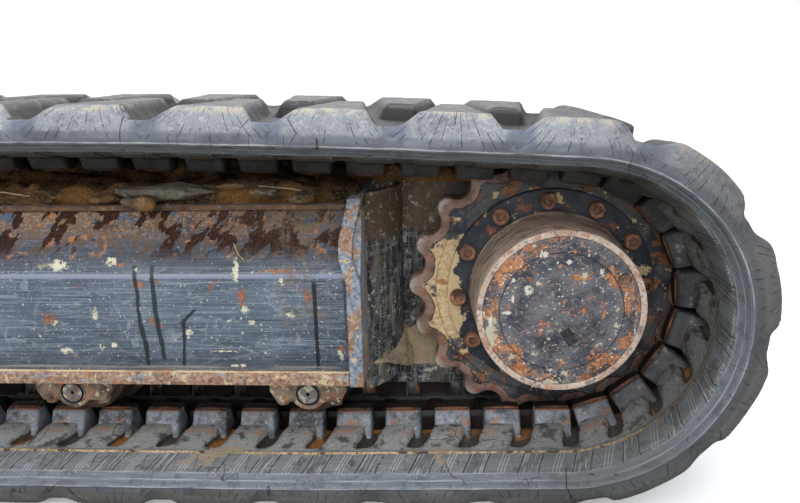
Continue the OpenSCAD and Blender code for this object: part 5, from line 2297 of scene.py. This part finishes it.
@dataclass
class Studio:
    """Floor, light and the camera at the photograph's angle."""
    eye: tuple[float, float, float] = (-181.5, -887.7, 647.0)
    pitch: float = 16.0
    yaw: float = -3.3
    roll: float = -1.0
    focal_px: float = 691.6
    sensor: float = 36.0
    centre_row: float = 267.0
    image: tuple[int, int] = (800, 503)
    pale: Colour = (255, 255, 255)
    ground: Colour = (148.9, 151.1, 144.3)
    horizon: tuple[float, float] = (-0.2, 0.66)
    zenith: float = 1.1

    def camera(self) -> None:
        """Places the camera."""
        down, side, lean = (radians(a) for a in (self.pitch, self.yaw, self.roll))
        ahead = Vector((sin(side) * cos(down), cos(side) * cos(down), -sin(down)))
        right = Vector((cos(side), -sin(side), 0))
        up = right.cross(ahead)
        turned_right = right * cos(lean) + up * sin(lean)
        turned_up = -right * sin(lean) + up * cos(lean)
        data = bpy.data.cameras.new("camera")
        data.sensor_width = self.sensor
        data.lens = self.focal_px * self.sensor / self.image[0]
        data.shift_y = (self.centre_row - self.image[1] / 2) / self.image[0]
        data.clip_start = 0.02
        made = bpy.data.objects.new("camera", data)
        bpy.context.scene.collection.objects.link(made)
        turn = Matrix((turned_right, turned_up, -ahead)).transposed().to_4x4()
        made.matrix_world = Matrix.Translation(row(*self.eye)) @ turn
        bpy.context.scene.camera = made

    def light(self) -> None:
        """Sets an overcast sky, brightest overhead, and a few broad lamps."""
        scene = bpy.context.scene
        world = scene.world or bpy.data.worlds.new("world")
        scene.world = world
        world.use_nodes = True
        world.node_tree.nodes.clear()
        tree = Tree(world.node_tree)
        _, _, up = tree.split(tree.node("TexCoord", out="Generated"))
        low, dim = self.horizon
        glow = tree.node("MapRange", {}, {0: up, 1: low, 2: 1.0, 3: dim, 4: self.zenith})
        sky = tree.node("Background", {}, {"Color": (0.90, 0.95, 1.0, 1), "Strength": glow})
        seen = tree.node("Background", {}, {"Color": (*linear(self.pale), 1)})
        camera = tree.node("LightPath", out="Is Camera Ray")
        shown = tree.node("MixShader", {}, {0: camera, 1: sky, 2: seen})
        end = world.node_tree.nodes.new("ShaderNodeOutputWorld")
        world.node_tree.links.new(shown.socket, end.inputs[0])
        self.lamp("over", (-300, -700, 2800), (-300, 100, 300), 3.0, 40)
        self.lamp("front", (-700, -2600, 1500), (-500, 0, 300), 2.4, 34)
        self.lamp("back", (-900, 2600, 2000), (-900, 400, 300), 2.4, 26)

    def lamp(self, name: str, at: Sequence[float], to: Sequence[float], size: float,
             power: float) -> None:
        """Adds a square lamp.

        Args:
            name: its name.
            at: its place, in mm.
            to: the point that it looks at.
            size: its side in metres.
            power: its power in watts.
        """
        data = bpy.data.lights.new(name, "AREA")
        data.shape = "SQUARE"
        data.size = size
        data.energy = power
        made = bpy.data.objects.new(name, data)
        bpy.context.scene.collection.objects.link(made)
        made.location = row(*at)
        made.rotation_euler = (row(*to) - row(*at)).to_track_quat("-Z", "Y").to_euler()

    def floor(self) -> None:
        """Lays a plain pale floor."""
        made = Bench.add("plane", "floor", size=60)
        shade = Shade("floor")
        seen = shade.node("LightPath", out="Is Camera Ray")
        shade.done(shade.mix(seen, self.ground, self.pale), 0.9, specular=0.5)
        shade.tree.links.new((seen * 0.22).socket, shade.shader.inputs["Emission Strength"])
        shade.shader.inputs["Emission Color"].default_value = (1, 1, 1, 1)
        made.data.materials.append(shade.material)

    def build(self) -> None:
        """Sets up the view."""
        bpy.context.scene.view_settings.view_transform = "Standard"
        self.camera()
        self.light()
        self.floor()


def main() -> None:
    """Builds the unit in order and notes its size."""
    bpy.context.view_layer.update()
    line = PitchLine()
    log.info("axles %.2f mm apart", line.axle)
    Studio().build()
    RubberTrack(line).build()
    Sprocket(line).build()
    FinalDrive().build()
    TrackFrame().build()
    RunningGear(line).build()
    TravelMotor().build()
    Dirt(line).build()


if __name__ == "__main__":
    main()
